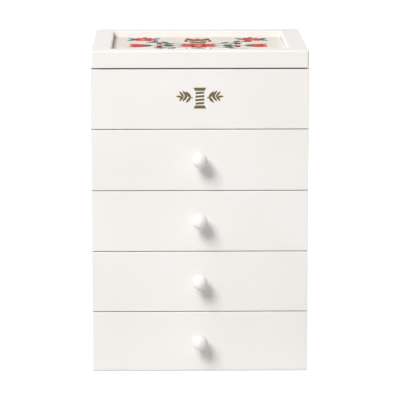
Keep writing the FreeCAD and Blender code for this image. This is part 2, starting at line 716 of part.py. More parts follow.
def knob_profile(sketch):
    """Half section of the knob: foot, tapering neck and ball, closed along its axis."""
    foot = sheet.knob_foot
    neck = sheet.knob_neck
    ball = sheet.knob_ball
    reach = sheet.knob_reach
    centre = ball - reach
    meet = centre + math.sqrt(ball**2 - neck**2)
    up = FreeCAD.Vector(0, 0, 1)
    face = FreeCAD.Vector(0, 0, 0)
    rim = FreeCAD.Vector(foot, 0, 0)
    join = FreeCAD.Vector(neck, meet, 0)
    tip = FreeCAD.Vector(0, -reach, 0)
    round_ball = Part.Circle(FreeCAD.Vector(0, centre, 0), up, ball)
    start = -math.pi / 2
    end = math.atan2(meet - centre, neck)
    foot_line, neck_line, ball_arc, axis_line = range(4)
    sketch.addGeometry([
        Part.LineSegment(face, rim),
        Part.LineSegment(rim, join),
        Part.ArcOfCircle(round_ball, start, end),
        Part.LineSegment(tip, face),
    ], False)
    for constraint in (
        ("Coincident", foot_line, 1, -1, 1),
        ("Horizontal", foot_line),
        ("Coincident", foot_line, 2, neck_line, 1),
        ("Coincident", neck_line, 2, ball_arc, 2),
        ("Coincident", ball_arc, 1, axis_line, 1),
        ("Coincident", axis_line, 2, -1, 1),
        ("Vertical", axis_line),
        ("PointOnObject", ball_arc, 3, -2),
    ):
        sketch.addConstraint(Sketcher.Constraint(*constraint))
    hold(sketch, Sketcher.Constraint("DistanceX", -1, 1, foot_line, 2, foot), "Sizes.knob_foot")
    hold(sketch, Sketcher.Constraint("DistanceX", -1, 1, neck_line, 2, neck), "Sizes.knob_neck")
    hold(sketch, Sketcher.Constraint("Radius", ball_arc, ball), "Sizes.knob_ball")
    hold(sketch, Sketcher.Constraint("DistanceY", axis_line, 1, axis_line, 2, reach), "Sizes.knob_reach")


def revolve(body, sketch, name):
    """Turn a half section about the sketch's upright axis."""
    feature = body.newObject("PartDesign::Revolution", name)
    feature.Profile = sketch
    feature.ReferenceAxis = (sketch, ["V_Axis"])
    feature.Angle = 360
    doc.recompute()
    return feature


def drawer_knob(label, level):
    """Turned ball knob, bored from its foot for the screw."""
    body = doc.addObject("PartDesign::Body", label)
    on_front(body, level)
    section = new_sketch(body, "knob_section", "XY_Plane")
    knob_profile(section)
    turned = revolve(body, section, "turned_knob")
    ball_end = sheet.knob_ball - sheet.knob_reach
    neck = sheet.knob_neck
    round_edges(
        body, turned, "cove", "Sizes.knob_cove",
        lambda p: p.y > ball_end and near(math.hypot(p.x, p.z), neck))
    bore = new_sketch(body, "bore_outline", "XZ_Plane")
    circle(bore, "0", "0", "Sizes.knob_screw + Sizes.hole_play")
    pocket(body, bore, "bore", "Sizes.knob_bore", reverse=True)
    return keep(body, label)


def knob_screw(label, level):
    """Pan-head screw from inside the drawer through the front into the knob."""
    body = doc.addObject("PartDesign::Body", label)
    on_front(body, level)
    section = new_sketch(body, "screw_section", "XY_Plane")
    outline(section, [
        ("0", "-Sizes.screw_hold"),
        ("Sizes.knob_screw", "-Sizes.screw_hold"),
        ("Sizes.knob_screw", "Sizes.front_board"),
        ("Sizes.pan_head", "Sizes.front_board"),
        ("Sizes.pan_head", "Sizes.front_board + Sizes.pan_high - Sizes.pan_bevel"),
        ("Sizes.pan_head - Sizes.pan_bevel", "Sizes.front_board + Sizes.pan_high"),
        ("0", "Sizes.front_board + Sizes.pan_high"),
    ])
    revolve(body, section, "turned_screw")
    return keep(body, label)


# ---------------------------------------------------------------- the whole box


def build_cabinet():
    """Sides, boards, fixed front, back, bumpers and the hinges' fixed half."""
    count = round(sheet.drawer_count)
    side_panel("left_side", -1)
    side_panel("right_side", 1)
    level_board("base_panel", "0")
    for number in range(1, count):
        level_board(f"shelf_{number}", f"{count - number} * Places.pitch")
    level_board("compartment_floor", "Places.floor_under")
    compartment_front()
    back_panel(screw_group("back_pilot", -1, "Sizes.hole_play"))
    lid_bumpers()
    for side, hand in (("left", -1), ("right", 1)):
        middle = f"({hand} * Places.hinge_middle)"
        body_leaf(f"{side}_hinge_body_leaf", middle)
        hinge_pin(f"{side}_hinge_pin", middle)
    keep(screw_group("body_screw", -1, "0"), "hinge_body_screws")


def build_lid():
    """Mitred frame, panel, stretched linen on its board and the hinges' moving half."""
    frame = lid_frame()
    keep(lid_member("front_rail", frame, False, -1), "lid_front_rail")
    lid_back_rail(frame, screw_group("lid_pilot", 1, "Sizes.hole_play"))
    keep(lid_member("left_stile", frame, True, -1), "lid_left_stile")
    keep(lid_member("right_stile", frame, True, 1), "lid_right_stile")
    inset_board("lid_panel", "Places.frame_half_x + Sizes.lid_groove",
                "Places.frame_half_y + Sizes.lid_groove", "Places.panel_top", "Sizes.lid_panel_board")
    linen_x = "Places.frame_half_x - Sizes.linen_play"
    linen_y = "Places.frame_half_y - Sizes.linen_play"
    inset_board("embroidery_board", linen_x, linen_y, "Places.mount_top", "Sizes.mount_board")
    inset_board("embroidered_linen", linen_x, linen_y, "Places.linen_top", "Sizes.linen")
    for side, hand in (("left", -1), ("right", 1)):
        lid_leaf(f"{side}_hinge_lid_leaf", f"({hand} * Places.hinge_middle)")
    keep(screw_group("lid_screw", 1, "0"), "hinge_lid_screws")


def build_drawer(number, level):
    """One drawer, numbered from the top and placed by how many openings lie below it."""
    drawer = f"drawer_{number}"
    drawer_front(f"{drawer}_front", level)
    drawer_side(f"{drawer}_left_side", level, -1)
    drawer_side(f"{drawer}_right_side", level, 1)
    drawer_back(f"{drawer}_back", level)
    drawer_bottom(f"{drawer}_bottom", level)
    drawer_dividers(f"{drawer}_dividers", level)
    drawer_knob(f"{drawer}_knob", level)
    knob_screw(f"{drawer}_knob_screw", level)


def check_pockets():
    """Every pocket must have taken material away."""
    for item in doc.Objects:
        if item.TypeId == "PartDesign::Pocket" and item.BaseFeature:
            if item.Shape.Volume >= item.BaseFeature.Shape.Volume - 0.001:
                raise ValueError(f"{item.Label} cuts nothing")


def check_states():
    """No object may be left failed, and every piece must be a valid shape."""
    for item in doc.Objects:
        if "Invalid" in item.State or "Error" in item.State:
            raise ValueError(f"{item.Label} failed: {item.State}")
    for piece in pieces:
        if piece.Shape.isNull() or not piece.Shape.isValid() or not piece.Shape.Solids:
            raise ValueError(f"{piece.Label} is not a valid solid")


build_cabinet()
build_lid()
drawer_total = round(sheet.drawer_count)
for drawer_number in range(1, drawer_total + 1):
    build_drawer(drawer_number, drawer_total - drawer_number)
doc.recompute()
check_states()
check_pockets()

os.makedirs("parts", exist_ok=True)
for piece in pieces:
    piece.Shape.exportStep(os.path.join("parts", f"{piece.Label}.step"))
print(f"{len(pieces)} pieces written")
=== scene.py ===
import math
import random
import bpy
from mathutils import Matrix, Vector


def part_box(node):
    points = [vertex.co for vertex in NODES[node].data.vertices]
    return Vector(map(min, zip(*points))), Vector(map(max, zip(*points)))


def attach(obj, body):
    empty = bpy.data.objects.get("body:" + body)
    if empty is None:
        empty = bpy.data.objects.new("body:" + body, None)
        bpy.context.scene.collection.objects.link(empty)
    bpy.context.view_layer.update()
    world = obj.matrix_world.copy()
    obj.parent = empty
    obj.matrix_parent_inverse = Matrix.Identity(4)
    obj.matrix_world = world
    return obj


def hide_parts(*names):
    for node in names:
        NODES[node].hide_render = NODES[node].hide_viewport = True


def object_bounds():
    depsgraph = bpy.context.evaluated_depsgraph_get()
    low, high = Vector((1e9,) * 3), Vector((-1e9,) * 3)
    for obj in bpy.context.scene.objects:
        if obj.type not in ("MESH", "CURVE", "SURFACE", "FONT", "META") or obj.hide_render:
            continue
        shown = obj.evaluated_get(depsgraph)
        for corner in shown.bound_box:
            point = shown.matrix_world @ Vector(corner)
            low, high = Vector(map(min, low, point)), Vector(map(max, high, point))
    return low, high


bl_info = {
    "name": "Thread Drawer Box Finishes",
    "version": (1, 0, 0),
    "blender": (4, 5, 0),
    "location": "3D View > Sidebar > Thread Box",
    "description": "Paint, wood, brass, linen and embroidery for a thread drawer box",
    "category": "Object",
}

import bmesh
import bpy
from mathutils import Matrix, Vector

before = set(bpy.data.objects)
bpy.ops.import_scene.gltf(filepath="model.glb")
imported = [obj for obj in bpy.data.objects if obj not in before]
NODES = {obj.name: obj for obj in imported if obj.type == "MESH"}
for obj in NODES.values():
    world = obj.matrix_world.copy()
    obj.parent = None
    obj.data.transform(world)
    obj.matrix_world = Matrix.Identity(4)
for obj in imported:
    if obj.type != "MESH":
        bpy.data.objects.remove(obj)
CAD_LOW, CAD_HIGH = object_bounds()

MM = 0.001


def linear(red, green, blue):
    """Scene-linear colour of an 8-bit sRGB colour."""
    values = []
    for level in (red, green, blue):
        level = level / 255
        values.append(level / 12.92 if level <= 0.04045 else ((level + 0.055) / 1.055) ** 2.4)
    return tuple(values)


def colour_setting(name, description, red, green, blue):
    """Colour property with an sRGB default."""
    return bpy.props.FloatVectorProperty(
        name=name, description=description, subtype="COLOR", size=3, min=0.0, max=1.0,
        default=linear(red, green, blue))


def number_setting(scale=1.0, **traits):
    """Maker of number properties with these traits, whose default is given times the scale."""
    def setting(name, description, default):
        return bpy.props.FloatProperty(
            name=name, description=description, default=default * scale, **traits)
    return setting


length_setting = number_setting(MM, subtype="DISTANCE", unit="LENGTH", min=0.0, precision=5)
angle_setting = number_setting(math.radians(1), subtype="ANGLE")
factor_setting = number_setting(subtype="FACTOR", min=0.0, max=1.0)
power_setting = number_setting(subtype="POWER", min=0.0)
plain_setting = number_setting(min=0.0)


# ---------------- settings


class PaintSettings(bpy.types.PropertyGroup):
    """The white paint on boards and knobs."""

    tint: colour_setting("Tint", "Colour of the painted boards", 244, 241, 239)
    shade: colour_setting("Shade", "Colour of the paint where it lies thicker", 239, 236, 233)
    knob_tint: colour_setting("Knob tint", "Colour of the knobs", 238, 237, 234)
    roughness: factor_setting("Roughness", "Roughness of the boards' satin paint", 0.42)
    knob_roughness: factor_setting("Knob roughness", "Roughness of the knobs' gloss paint", 0.24)


class WoodSettings(bpy.types.PropertyGroup):
    """The bare wood inside."""

    light: colour_setting("Light", "Colour of the early wood", 229, 205, 166)
    dark: colour_setting("Dark", "Colour of the late wood", 204, 170, 124)
    ring: length_setting("Ring", "Distance between growth rings", 3.2)
    board: colour_setting("Mount board", "Colour of the board under the linen", 196, 190, 178)


class MetalSettings(bpy.types.PropertyGroup):
    """Hinges, screws and felt dots."""

    brass: colour_setting("Brass", "Colour of the hinges", 209, 181, 120)
    steel: colour_setting("Steel", "Colour of the knob screws", 176, 176, 174)
    felt: colour_setting("Felt", "Colour of the felt dots", 222, 219, 212)


class LinenSettings(bpy.types.PropertyGroup):
    """The stretched cloth in the lid."""

    warp: colour_setting("Warp", "Colour of the threads from front to back", 255, 248, 239)
    weft: colour_setting("Weft", "Colour of the threads from side to side", 255, 245, 234)
    pitch: length_setting("Thread pitch", "Distance between threads of the cloth", 0.55)
    ripple: length_setting("Ripple", "Unevenness of the stretched cloth", 0.12)


class EmbroiderySettings(bpy.types.PropertyGroup):
    """The threads of the picture."""

    red: colour_setting("Red", "Petals", 200, 36, 34)
    deep_red: colour_setting("Deep red", "Tulips' outer petals and berries", 150, 26, 38)
    coral: colour_setting("Coral", "Petals between the red ones", 224, 84, 66)
    rose: colour_setting("Rose", "Petals behind the middle flower", 230, 138, 126)
    leaf: colour_setting("Leaf", "Broad leaves", 82, 106, 66)
    stem: colour_setting("Stem", "Stems", 62, 88, 60)
    teal: colour_setting("Teal", "Small leaves", 84, 114, 122)
    straw: colour_setting("Straw", "Knots in the flowers", 222, 178, 92)
    floss: length_setting("Floss", "Width of one stitch", 0.75)
    padding: length_setting("Padding", "Height of the satin stitches over the cloth", 0.7)


class OrnamentSettings(bpy.types.PropertyGroup):
    """The gilt spool on the fixed front."""

    gilt: colour_setting("Gilt", "Colour of the gilt print", 106, 92, 64)
    width: length_setting("Width", "Width of the whole ornament", 58)
    height: length_setting("Height", "Height of the spool", 27)
    rise: length_setting("Rise", "Middle of the ornament above the front's middle", 1.5)
    film: length_setting("Film", "Thickness of the print", 0.12)


class StageSettings(bpy.types.PropertyGroup):
    """Floor, light and camera."""

    floor: colour_setting("Floor", "Colour of the floor", 250, 250, 250)
    floor_glow: factor_setting("Floor glow", "White of the floor that takes no shadow", 0.86)
    floor_shadow: factor_setting("Floor shadow", "White of the floor that takes the shadow", 0.5)
    floor_bounce: factor_setting("Floor bounce", "Light that the floor throws back", 0.62)
    ambient: plain_setting("Ambient", "Strength of the light from all round", 0.22)
    key_power: power_setting("Key power", "Power of the softbox in front", 352.0)
    side_power: power_setting("Side power", "Power of the softbox on the right", 150.0)
    back_power: power_setting("Back power", "Power of the softbox behind", 240.0)
    lamp_size: length_setting("Softbox size", "Side of each square softbox", 2600)
    lamp_distance: length_setting("Softbox distance", "Softboxes to the middle of the box", 6000)
    camera_distance: length_setting("Camera distance", "Camera to the front of the box, level", 2890)
    camera_side: length_setting("Camera side", "How far the camera stands to the left", 44.8)
    camera_height: length_setting("Camera height", "Height of the camera above the floor", 765.7)
    camera_turn: angle_setting("Camera turn", "Turn of the camera to the right", 0.892)
    camera_pitch: angle_setting("Camera pitch", "Tilt of the camera below level", 10.533)
    camera_lens: plain_setting("Lens", "Focal length on a 36 mm frame, in millimetres", 204.9)


SETTINGS = {
    "box_paint": PaintSettings,
    "box_wood": WoodSettings,
    "box_metal": MetalSettings,
    "box_linen": LinenSettings,
    "box_embroidery": EmbroiderySettings,
    "box_ornament": OrnamentSettings,
    "box_stage": StageSettings,
}


# ---------------- shader graphs


# Colour sockets of a Mix node, whose other kinds of socket have the same names.
MIX_FIRST, MIX_SECOND, MIX_RESULT = 6, 7, 2


class Graph:
    """Short way to add and join the nodes of one shader tree."""

    def __init__(self, tree):
        self.tree = tree

    def add(self, kind, inputs=None, **settings):
        """Add a node, set its properties, and fill or link its inputs."""
        node = self.tree.nodes.new(kind)
        for name, value in settings.items():
            setattr(node, name, value)
        self.fill_all(node, inputs or {})
        return node

    def fill(self, socket, value):
        """Link an output to a socket, or set the socket's value."""
        if isinstance(value, bpy.types.NodeSocket):
            self.tree.links.new(value, socket)
        elif socket.type == "RGBA" and len(value) == 3:
            socket.default_value = (*value, 1.0)
        else:
            socket.default_value = value

    def fill_all(self, node, inputs):
        """Fill or link the inputs of a node that have these names or numbers."""
        for name, value in inputs.items():
            self.fill(node.inputs[name], value)

    def maths(self, operation, first, second=0.0, third=0.0):
        """Result of a math node."""
        node = self.add("ShaderNodeMath", {0: first, 1: second, 2: third}, operation=operation)
        return node.outputs[0]

    def noise(self, place, scale=1.0, detail=2.0, roughness=0.5):
        """Noise value at a place."""
        node = self.add("ShaderNodeTexNoise", {
            "Vector": place, "Scale": scale, "Detail": detail, "Roughness": roughness})
        return node.outputs["Fac"]

    def stretch(self, place, scale):
        """Place scaled differently along each axis."""
        node = self.add("ShaderNodeMapping", {"Vector": place, "Scale": scale})
        return node.outputs[0]

    def mix(self, share, first, second, blend="MIX"):
        """Mix of two colours."""
        node = self.add("ShaderNodeMix", {"Factor": share, MIX_FIRST: first, MIX_SECOND: second},
                        data_type="RGBA", blend_type=blend)
        return node.outputs[MIX_RESULT]

    def darken(self, colour, share):
        """Colour times a share."""
        return self.mix(1.0, colour, share, "MULTIPLY")

    def shown(self, path):
        """1 for the light paths that the camera sees straight, in a mirror or through glass."""
        rays = [path.outputs[f"Is {kind} Ray"] for kind in ("Camera", "Transmission", "Glossy")]
        return self.maths("MAXIMUM", self.maths("MAXIMUM", rays[0], rays[1]), rays[2])

    def remap(self, value, low, high, new_low=0.0, new_high=1.0):
        """Value taken from one range to another and kept inside it."""
        node = self.add("ShaderNodeMapRange", {
            "Value": value, "From Min": low, "From Max": high, "To Min": new_low, "To Max": new_high})
        return node.outputs[0]


def emptied_tree(holder):
    """Node tree of a material or a world, without its first nodes."""
    holder.use_nodes = True
    holder.node_tree.nodes.clear()
    return holder.node_tree


GROUP_SOCKETS = {"VALUE": "NodeSocketFloat", "VECTOR": "NodeSocketVector", "RGBA": "NodeSocketColor"}


def socket_kind(value):
    """Kind of group socket for another node's output, a number or a colour."""
    if isinstance(value, bpy.types.NodeSocket):
        return GROUP_SOCKETS[value.type]
    return GROUP_SOCKETS["VALUE" if isinstance(value, float) else "RGBA"]


def shared_group(build, inputs):
    """Node group of an effect, with named inputs and outputs; it is built only once."""
    name = build.__name__
    if name in bpy.data.node_groups:
        return bpy.data.node_groups[name]
    tree = bpy.data.node_groups.new(name, "ShaderNodeTree")
    for socket, value in inputs.items():
        tree.interface.new_socket(name=socket, in_out="INPUT", socket_type=socket_kind(value))
    graph = Graph(tree)
    entry = graph.add("NodeGroupInput").outputs
    outputs = build(graph, **{socket.lower(): entry[socket] for socket in inputs})
    for socket, value in outputs.items():
        tree.interface.new_socket(name=socket, in_out="OUTPUT", socket_type=socket_kind(value))
    graph.add("NodeGroupOutput", outputs)
    return tree


# ---------------- shared effects


# Each puts out a height, and values for the shader's inputs of the same names.


def paint_film(graph, place, tint, shade, roughness):
    """Sprayed satin paint: slow drift of tone, fine orange peel and faint sanding marks."""
    thick = graph.remap(graph.noise(place, scale=7.0, detail=3.0), 0.35, 0.7)
    specks = graph.remap(graph.noise(place, scale=900.0, detail=1.0), 0.62, 0.8, new_high=0.25)
    tone = graph.maths("MAXIMUM", thick, specks)
    peel = graph.noise(place, scale=520.0)
    marks = graph.noise(graph.stretch(place, (9.0, 9.0, 420.0)))
    rough = graph.maths("MULTIPLY_ADD", peel, 0.12, roughness)
    return {
        "Base Color": graph.mix(tone, tint, shade),
        "Roughness": graph.maths("SUBTRACT", rough, 0.06),
        "Height": graph.maths("MULTIPLY_ADD", marks, 0.35, peel)}


def grain(graph, place, light, dark, ring):
    """Flat-sawn softwood: growth rings stretched along X, and fine fibre."""
    bend = graph.noise(graph.stretch(place, (3.0, 14.0, 14.0)), detail=3.0)
    across = graph.stretch(place, (0.25, 1.0, 1.0))
    wide = graph.add("ShaderNodeVectorMath", {0: across}, operation="LENGTH").outputs["Value"]
    bent = graph.maths("MULTIPLY_ADD", bend, 0.035, wide)
    turns = graph.maths("DIVIDE", bent, ring)
    late = graph.maths("POWER", graph.maths("FRACT", turns), 3.0)
    fibre = graph.noise(graph.stretch(place, (18.0, 900.0, 900.0)))
    tone = graph.maths("MULTIPLY_ADD", fibre, 0.4, graph.maths("MULTIPLY", late, 0.6))
    mask = graph.remap(tone, 0.1, 0.85)
    return {
        "Base Color": graph.mix(mask, light, dark),
        "Roughness": graph.remap(mask, 0.0, 1.0, 0.55, 0.7),
        "Height": graph.maths("MULTIPLY_ADD", late, 0.4, fibre)}


def weave(graph, place, warp, weft, pitch):
    """Plain weave: warp along Y and weft along X that pass over each other, with slubs, and painted
    shade in the hollows between threads.
    """
    wander = graph.noise(place, scale=60.0, detail=1.0)
    push = graph.maths("MULTIPLY", graph.maths("SUBTRACT", wander, 0.5), 0.4 * MM)
    split = graph.add("ShaderNodeSeparateXYZ", {0: place})
    turns = []
    crowns = []
    for axis, slub_scale in enumerate(((1800.0, 70.0, 1.0), (70.0, 1800.0, 1.0))):
        pushed = graph.maths("ADD", split.outputs[axis], push)
        turn = graph.maths("DIVIDE", graph.maths("MULTIPLY", pushed, math.pi), pitch)
        crown = graph.maths("ABSOLUTE", graph.maths("SINE", turn))
        slub = graph.noise(graph.stretch(place, slub_scale), detail=1.0)
        turns.append(turn)
        crowns.append(graph.maths("MULTIPLY", crown, graph.maths("MULTIPLY_ADD", slub, 0.5, 0.6)))
    over = graph.maths("MULTIPLY", *[graph.maths("COSINE", turn) for turn in turns])
    lift = graph.maths("MULTIPLY_ADD", graph.maths("SIGN", over), 0.5, 0.5)
    warp_part = graph.maths("MULTIPLY", crowns[0], lift)
    weft_part = graph.maths("MULTIPLY", crowns[1], graph.maths("SUBTRACT", 1.0, lift))
    height = graph.maths("ADD", warp_part, weft_part)
    # Painted shade: the colour is darkened where the threads sink, in the hollows between them.
    painted_hollow_shade = graph.remap(height, 0.0, 0.55, 0.94)
    return {"Base Color": graph.darken(graph.mix(lift, weft, warp), painted_hollow_shade), "Height": height}


def ply(graph, along, colour, shift):
    """Strands of a stitch: U runs along the stitch in millimetres, V goes round it; painted shade
    darkens the grooves between strands.
    """
    strands = 3.0
    twist = 0.35
    split = graph.add("ShaderNodeSeparateXYZ", {0: along})
    wound = graph.maths("MULTIPLY", split.outputs[0], twist)
    turn = graph.maths("MULTIPLY_ADD", split.outputs[1], strands, wound)
    strand = graph.maths("ABSOLUTE", graph.maths("SINE", graph.maths("MULTIPLY", turn, math.tau)))
    # Painted shade: the colour is darkened in the grooves between the strands.
    painted_groove_shade = graph.remap(strand, 0.0, 0.5, 0.72)
    tone = graph.maths("MULTIPLY_ADD", graph.maths("SUBTRACT", shift, 0.5), 0.3, painted_groove_shade)
    return {"Base Color": graph.darken(colour, tone), "Height": strand}


def metal(graph, place, bright, dull):
    """Stamped metal: fine lines along X and a light mottle of tarnish."""
    lines = graph.noise(graph.stretch(place, (60.0, 5000.0, 5000.0)))
    mottle = graph.remap(graph.noise(place, scale=260.0, detail=3.0), 0.45, 0.75)
    rough = graph.maths("MULTIPLY_ADD", mottle, 0.16, 0.22)
    return {
        "Base Color": graph.mix(mottle, bright, dull),
        "Roughness": graph.maths("MULTIPLY_ADD", lines, 0.1, rough),
        "Height": lines}


def nap(graph, place, colour, depth):
    """Short fibres of felt or paper, in a tone that varies from tuft to tuft."""
    tuft = graph.noise(place, scale=700.0, detail=4.0, roughness=0.7)
    dark = graph.maths("SUBTRACT", 1.0, graph.maths("MULTIPLY", tuft, depth))
    return {"Base Color": graph.darken(colour, dark), "Height": tuft}


# ---------------- materials


class Finish(Graph):
    """A material under way: the graph in front of its principled shader."""

    def __init__(self, name):
        self.material = bpy.data.materials.new(name)
        super().__init__(emptied_tree(self.material))
        self.shader = self.add("ShaderNodeBsdfPrincipled")
        self.add("ShaderNodeOutputMaterial", {"Surface": self.shader.outputs[0]})

    def place(self):
        """Object coordinates."""
        return self.add("ShaderNodeTexCoord").outputs["Object"]

    def done(self, height, relief, inputs):
        """The material, once it has a relief in millimetres and the shader's other inputs."""
        bump = self.add("ShaderNodeBump", {"Height": height, "Distance": relief * MM})
        self.fill_all(self.shader, {"Normal": bump.outputs[0], **inputs})
        return self.material

    def effect(self, build, relief, values, others):
        """The material, made of a shared effect with its values and the shader's other inputs."""
        group = self.add("ShaderNodeGroup", values, node_tree=shared_group(build, values))
        outputs = {output.name: output for output in group.outputs}
        return self.done(outputs.pop("Height"), relief, {**outputs, **others})


def tinted(colour, share):
    """Colour with each of its levels times a share."""
    return tuple(level * share for level in colour)


def painted(name, tint, shade, roughness, coat):
    """Sprayed paint on wood board."""
    finish = Finish(name)
    values = {"Place": finish.place(), "Tint": tint, "Shade": shade, "Roughness": roughness}
    others = {"Coat Weight": coat, "Coat Roughness": 0.18, "IOR": 1.48}
    return finish.effect(paint_film, 0.04, values, others)


def bare_wood(name, wood, turn, shift):
    """Sanded wood: the turn takes its grain to X, and the shift takes its heart to the origin."""
    finish = Finish(name)
    place = finish.add(
        "ShaderNodeMapping", {"Vector": finish.place(), "Rotation": turn, "Location": shift})
    values = {
        "Place": place.outputs[0], "Light": wood.light, "Dark": wood.dark, "Ring": wood.ring}
    return finish.effect(grain, 0.05, values, {})


def stamped_metal(name, colour):
    """Brass or plated steel."""
    finish = Finish(name)
    values = {"Place": finish.place(), "Bright": colour, "Dull": tinted(colour, 0.72)}
    return finish.effect(metal, 0.01, values, {"Metallic": 1.0})


def napped(name, colour, depth, relief):
    """Felt or board."""
    finish = Finish(name)
    values = {"Place": finish.place(), "Colour": colour, "Depth": depth}
    others = {"Roughness": 0.95, "Sheen Weight": 0.3, "Sheen Roughness": 0.5}
    return finish.effect(nap, relief, values, others)


def linen_cloth(linen):
    """Cream linen in plain weave."""
    finish = Finish("linen_cloth")
    values = {
        "Place": finish.place(), "Warp": linen.warp, "Weft": linen.weft, "Pitch": linen.pitch}
    others = {"Roughness": 0.88, "Sheen Weight": 0.6, "Sheen Roughness": 0.4}
    return finish.effect(weave, 0.11, values, others)


def floss(name, colour):
    """Embroidery thread with a silky sheen; the shade differs from stitch to stitch."""
    finish = Finish(name)
    thread_uv = finish.add("ShaderNodeUVMap", uv_map="thread").outputs[0]
    shift = finish.add("ShaderNodeAttribute", attribute_name="shade").outputs["Fac"]
    values = {"Along": thread_uv, "Colour": colour, "Shift": shift}
    others = {"Roughness": 0.6, "IOR": 1.36, "Sheen Weight": 0.05, "Sheen Roughness": 0.3}
    return finish.effect(ply, 0.06, values, others)


def gilt_print(colour):
    """Matt gold print, a little uneven."""
    finish = Finish("gilt_print")
    mottle = finish.noise(finish.place(), scale=1400.0, detail=3.0)
    share = finish.remap(mottle, 0.4, 0.7)
    return finish.done(mottle, 0.01, {
        "Base Color": finish.mix(share, colour, tinted(colour, 1.2)), "Metallic": 0.8,
        "Roughness": finish.remap(mottle, 0.3, 0.8, 0.36, 0.55)})


def wear(piece, material):
    """Give an object this material and nothing else."""
    piece.data.materials.clear()
    piece.data.materials.append(material)


# ---------------- meshes


def new_object(name, bm, *materials):
    """Turn a bmesh into an object in the scene."""
    mesh = bpy.data.meshes.new(name)
    bm.to_mesh(mesh)
    bm.free()
    for material in materials:
        mesh.materials.append(material)
    made = bpy.data.objects.new(name, mesh)
    bpy.context.scene.collection.objects.link(made)
    return made


def new_piece(name, bm, body, slot, *materials):
    """Turn a bmesh into a piece that rides on a body."""
    piece = new_object(name, bm, *materials)
    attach(piece, body)
    return piece


def grown_verts(result):
    """Vertices that an extrusion has made."""
    return [item for item in result["geom"] if isinstance(item, bmesh.types.BMVert)]


def smooth(bm):
    """Shade every face smooth."""
    for face in bm.faces:
        face.smooth = True


def islands_along_x(node, gap):
    """Lowest and highest corners of a node's separate solids, from left to right."""
    spots = sorted((v.co.copy() for v in NODES[node].data.vertices), key=lambda co: co.x)
    groups = [[spots[0]]]
    for spot in spots[1:]:
        if spot.x - groups[-1][-1].x > gap:
            groups.append([])
        groups[-1].append(spot)
    corners = []
    for group in groups:
        axes = list(zip(*group))
        low, high = [Vector([end(axis) for axis in axes]) for end in (min, max)]
        corners.append((low, high))
    return corners


# ---------------- boards and metal of the CAD model


PAINTED = (
    "left_side", "right_side", "back_panel", "compartment_front", "lid_front_rail",
    "lid_back_rail", "lid_left_stile", "lid_right_stile", "lid_panel")
# Turns that take a board's length, along X or Y, to the grain's X.
X_TO_X = (0.0, 0.0, 0.0)
Y_TO_X = (0.0, 0.0, math.radians(90))


class THREADBOX_OT_paint_boards(bpy.types.Operator):
    """Paint the outside boards, the lid frame and the knobs"""

    bl_idname = "thread_box.paint_boards"
    bl_label = "Paint boards"

    def execute(self, context):
        paint = context.scene.box_paint
        board = painted("satin_white", paint.tint, paint.shade, paint.roughness, coat=0.15)
        knob = painted("gloss_white", paint.knob_tint, paint.tint, paint.knob_roughness, coat=0.6)
        for name, node in NODES.items():
            if name.endswith("_knob"):
                wear(node, knob)
            elif name in PAINTED or name.startswith("drawer_") and name.endswith("_front"):
                wear(node, board)
        return {"FINISHED"}


class THREADBOX_OT_grain_boards(bpy.types.Operator):
    """Give the boards inside their bare wood, with the grain along each board"""

    bl_idname = "thread_box.grain_boards"
    bl_label = "Bare wood inside"

    def execute(self, context):
        wood = context.scene.box_wood
        level = bare_wood("wood_across", wood, X_TO_X, shift=(0.0, 0.03, -0.02))
        deep = bare_wood("wood_front_to_back", wood, Y_TO_X, shift=(0.0, 0.02, 0.013))
        for name, node in NODES.items():
            if name.startswith("shelf_") or name in ("base_panel", "compartment_floor"):
                wear(node, level)
            elif name.startswith("drawer_") and name.endswith(("_back", "_bottom")):
                wear(node, level)
            elif name.startswith("drawer_") and name.endswith(("_side", "_dividers")):
                wear(node, deep)
        paper = napped("mount_board", wood.board, depth=0.12, relief=0.04)
        wear(NODES["embroidery_board"], paper)
        return {"FINISHED"}


class THREADBOX_OT_finish_metal(bpy.types.Operator):
    """Give the hinges and pins their brass and the bumpers their felt"""

    bl_idname = "thread_box.finish_metal"
    bl_label = "Hinges and bumpers"

    def execute(self, context):
        colours = context.scene.box_metal
        brass = stamped_metal("brass", colours.brass)
        for side in ("left", "right"):
            for part in ("hinge_body_leaf", "hinge_lid_leaf", "hinge_pin"):
                wear(NODES[f"{side}_{part}"], brass)
        wear(NODES["lid_bumpers"], napped("felt", colours.felt, depth=0.35, relief=0.3))
        return {"FINISHED"}


# ---------------- screws


def cut_cross(bm, cap, radius):
    """Sink a cross recess into a flat round cap that faces +Z."""
    reach = radius * 0.66
    half = radius * 0.12
    depth = radius * 0.3
    narrowing = 0.8
    for normal in ((1, 0, 0), (0, 1, 0)):
        for distance in (-reach, -half, half, reach):
            geometry = cap + [e for f in cap for e in f.edges] + [v for f in cap for v in f.verts]
            geometry = list(dict.fromkeys(geometry))
            result = bmesh.ops.bisect_plane(
                bm, geom=geometry, plane_co=Vector(normal) * distance, plane_no=normal, dist=1e-7)
            cap = [item for item in result["geom"] if isinstance(item, bmesh.types.BMFace)]
    arms = []
    for face in cap:
        centre = face.calc_center_median()
        across, along_arm = sorted((abs(centre.x), abs(centre.y)))
        if across < half and along_arm < reach:
            arms.append(face)
    verts = grown_verts(bmesh.ops.extrude_face_region(bm, geom=arms))
    bmesh.ops.delete(bm, geom=arms, context="FACES_ONLY")
    bmesh.ops.translate(bm, verts=verts, vec=(0, 0, -depth))
    bmesh.ops.scale(bm, verts=verts, vec=(narrowing, narrowing, 1.0))


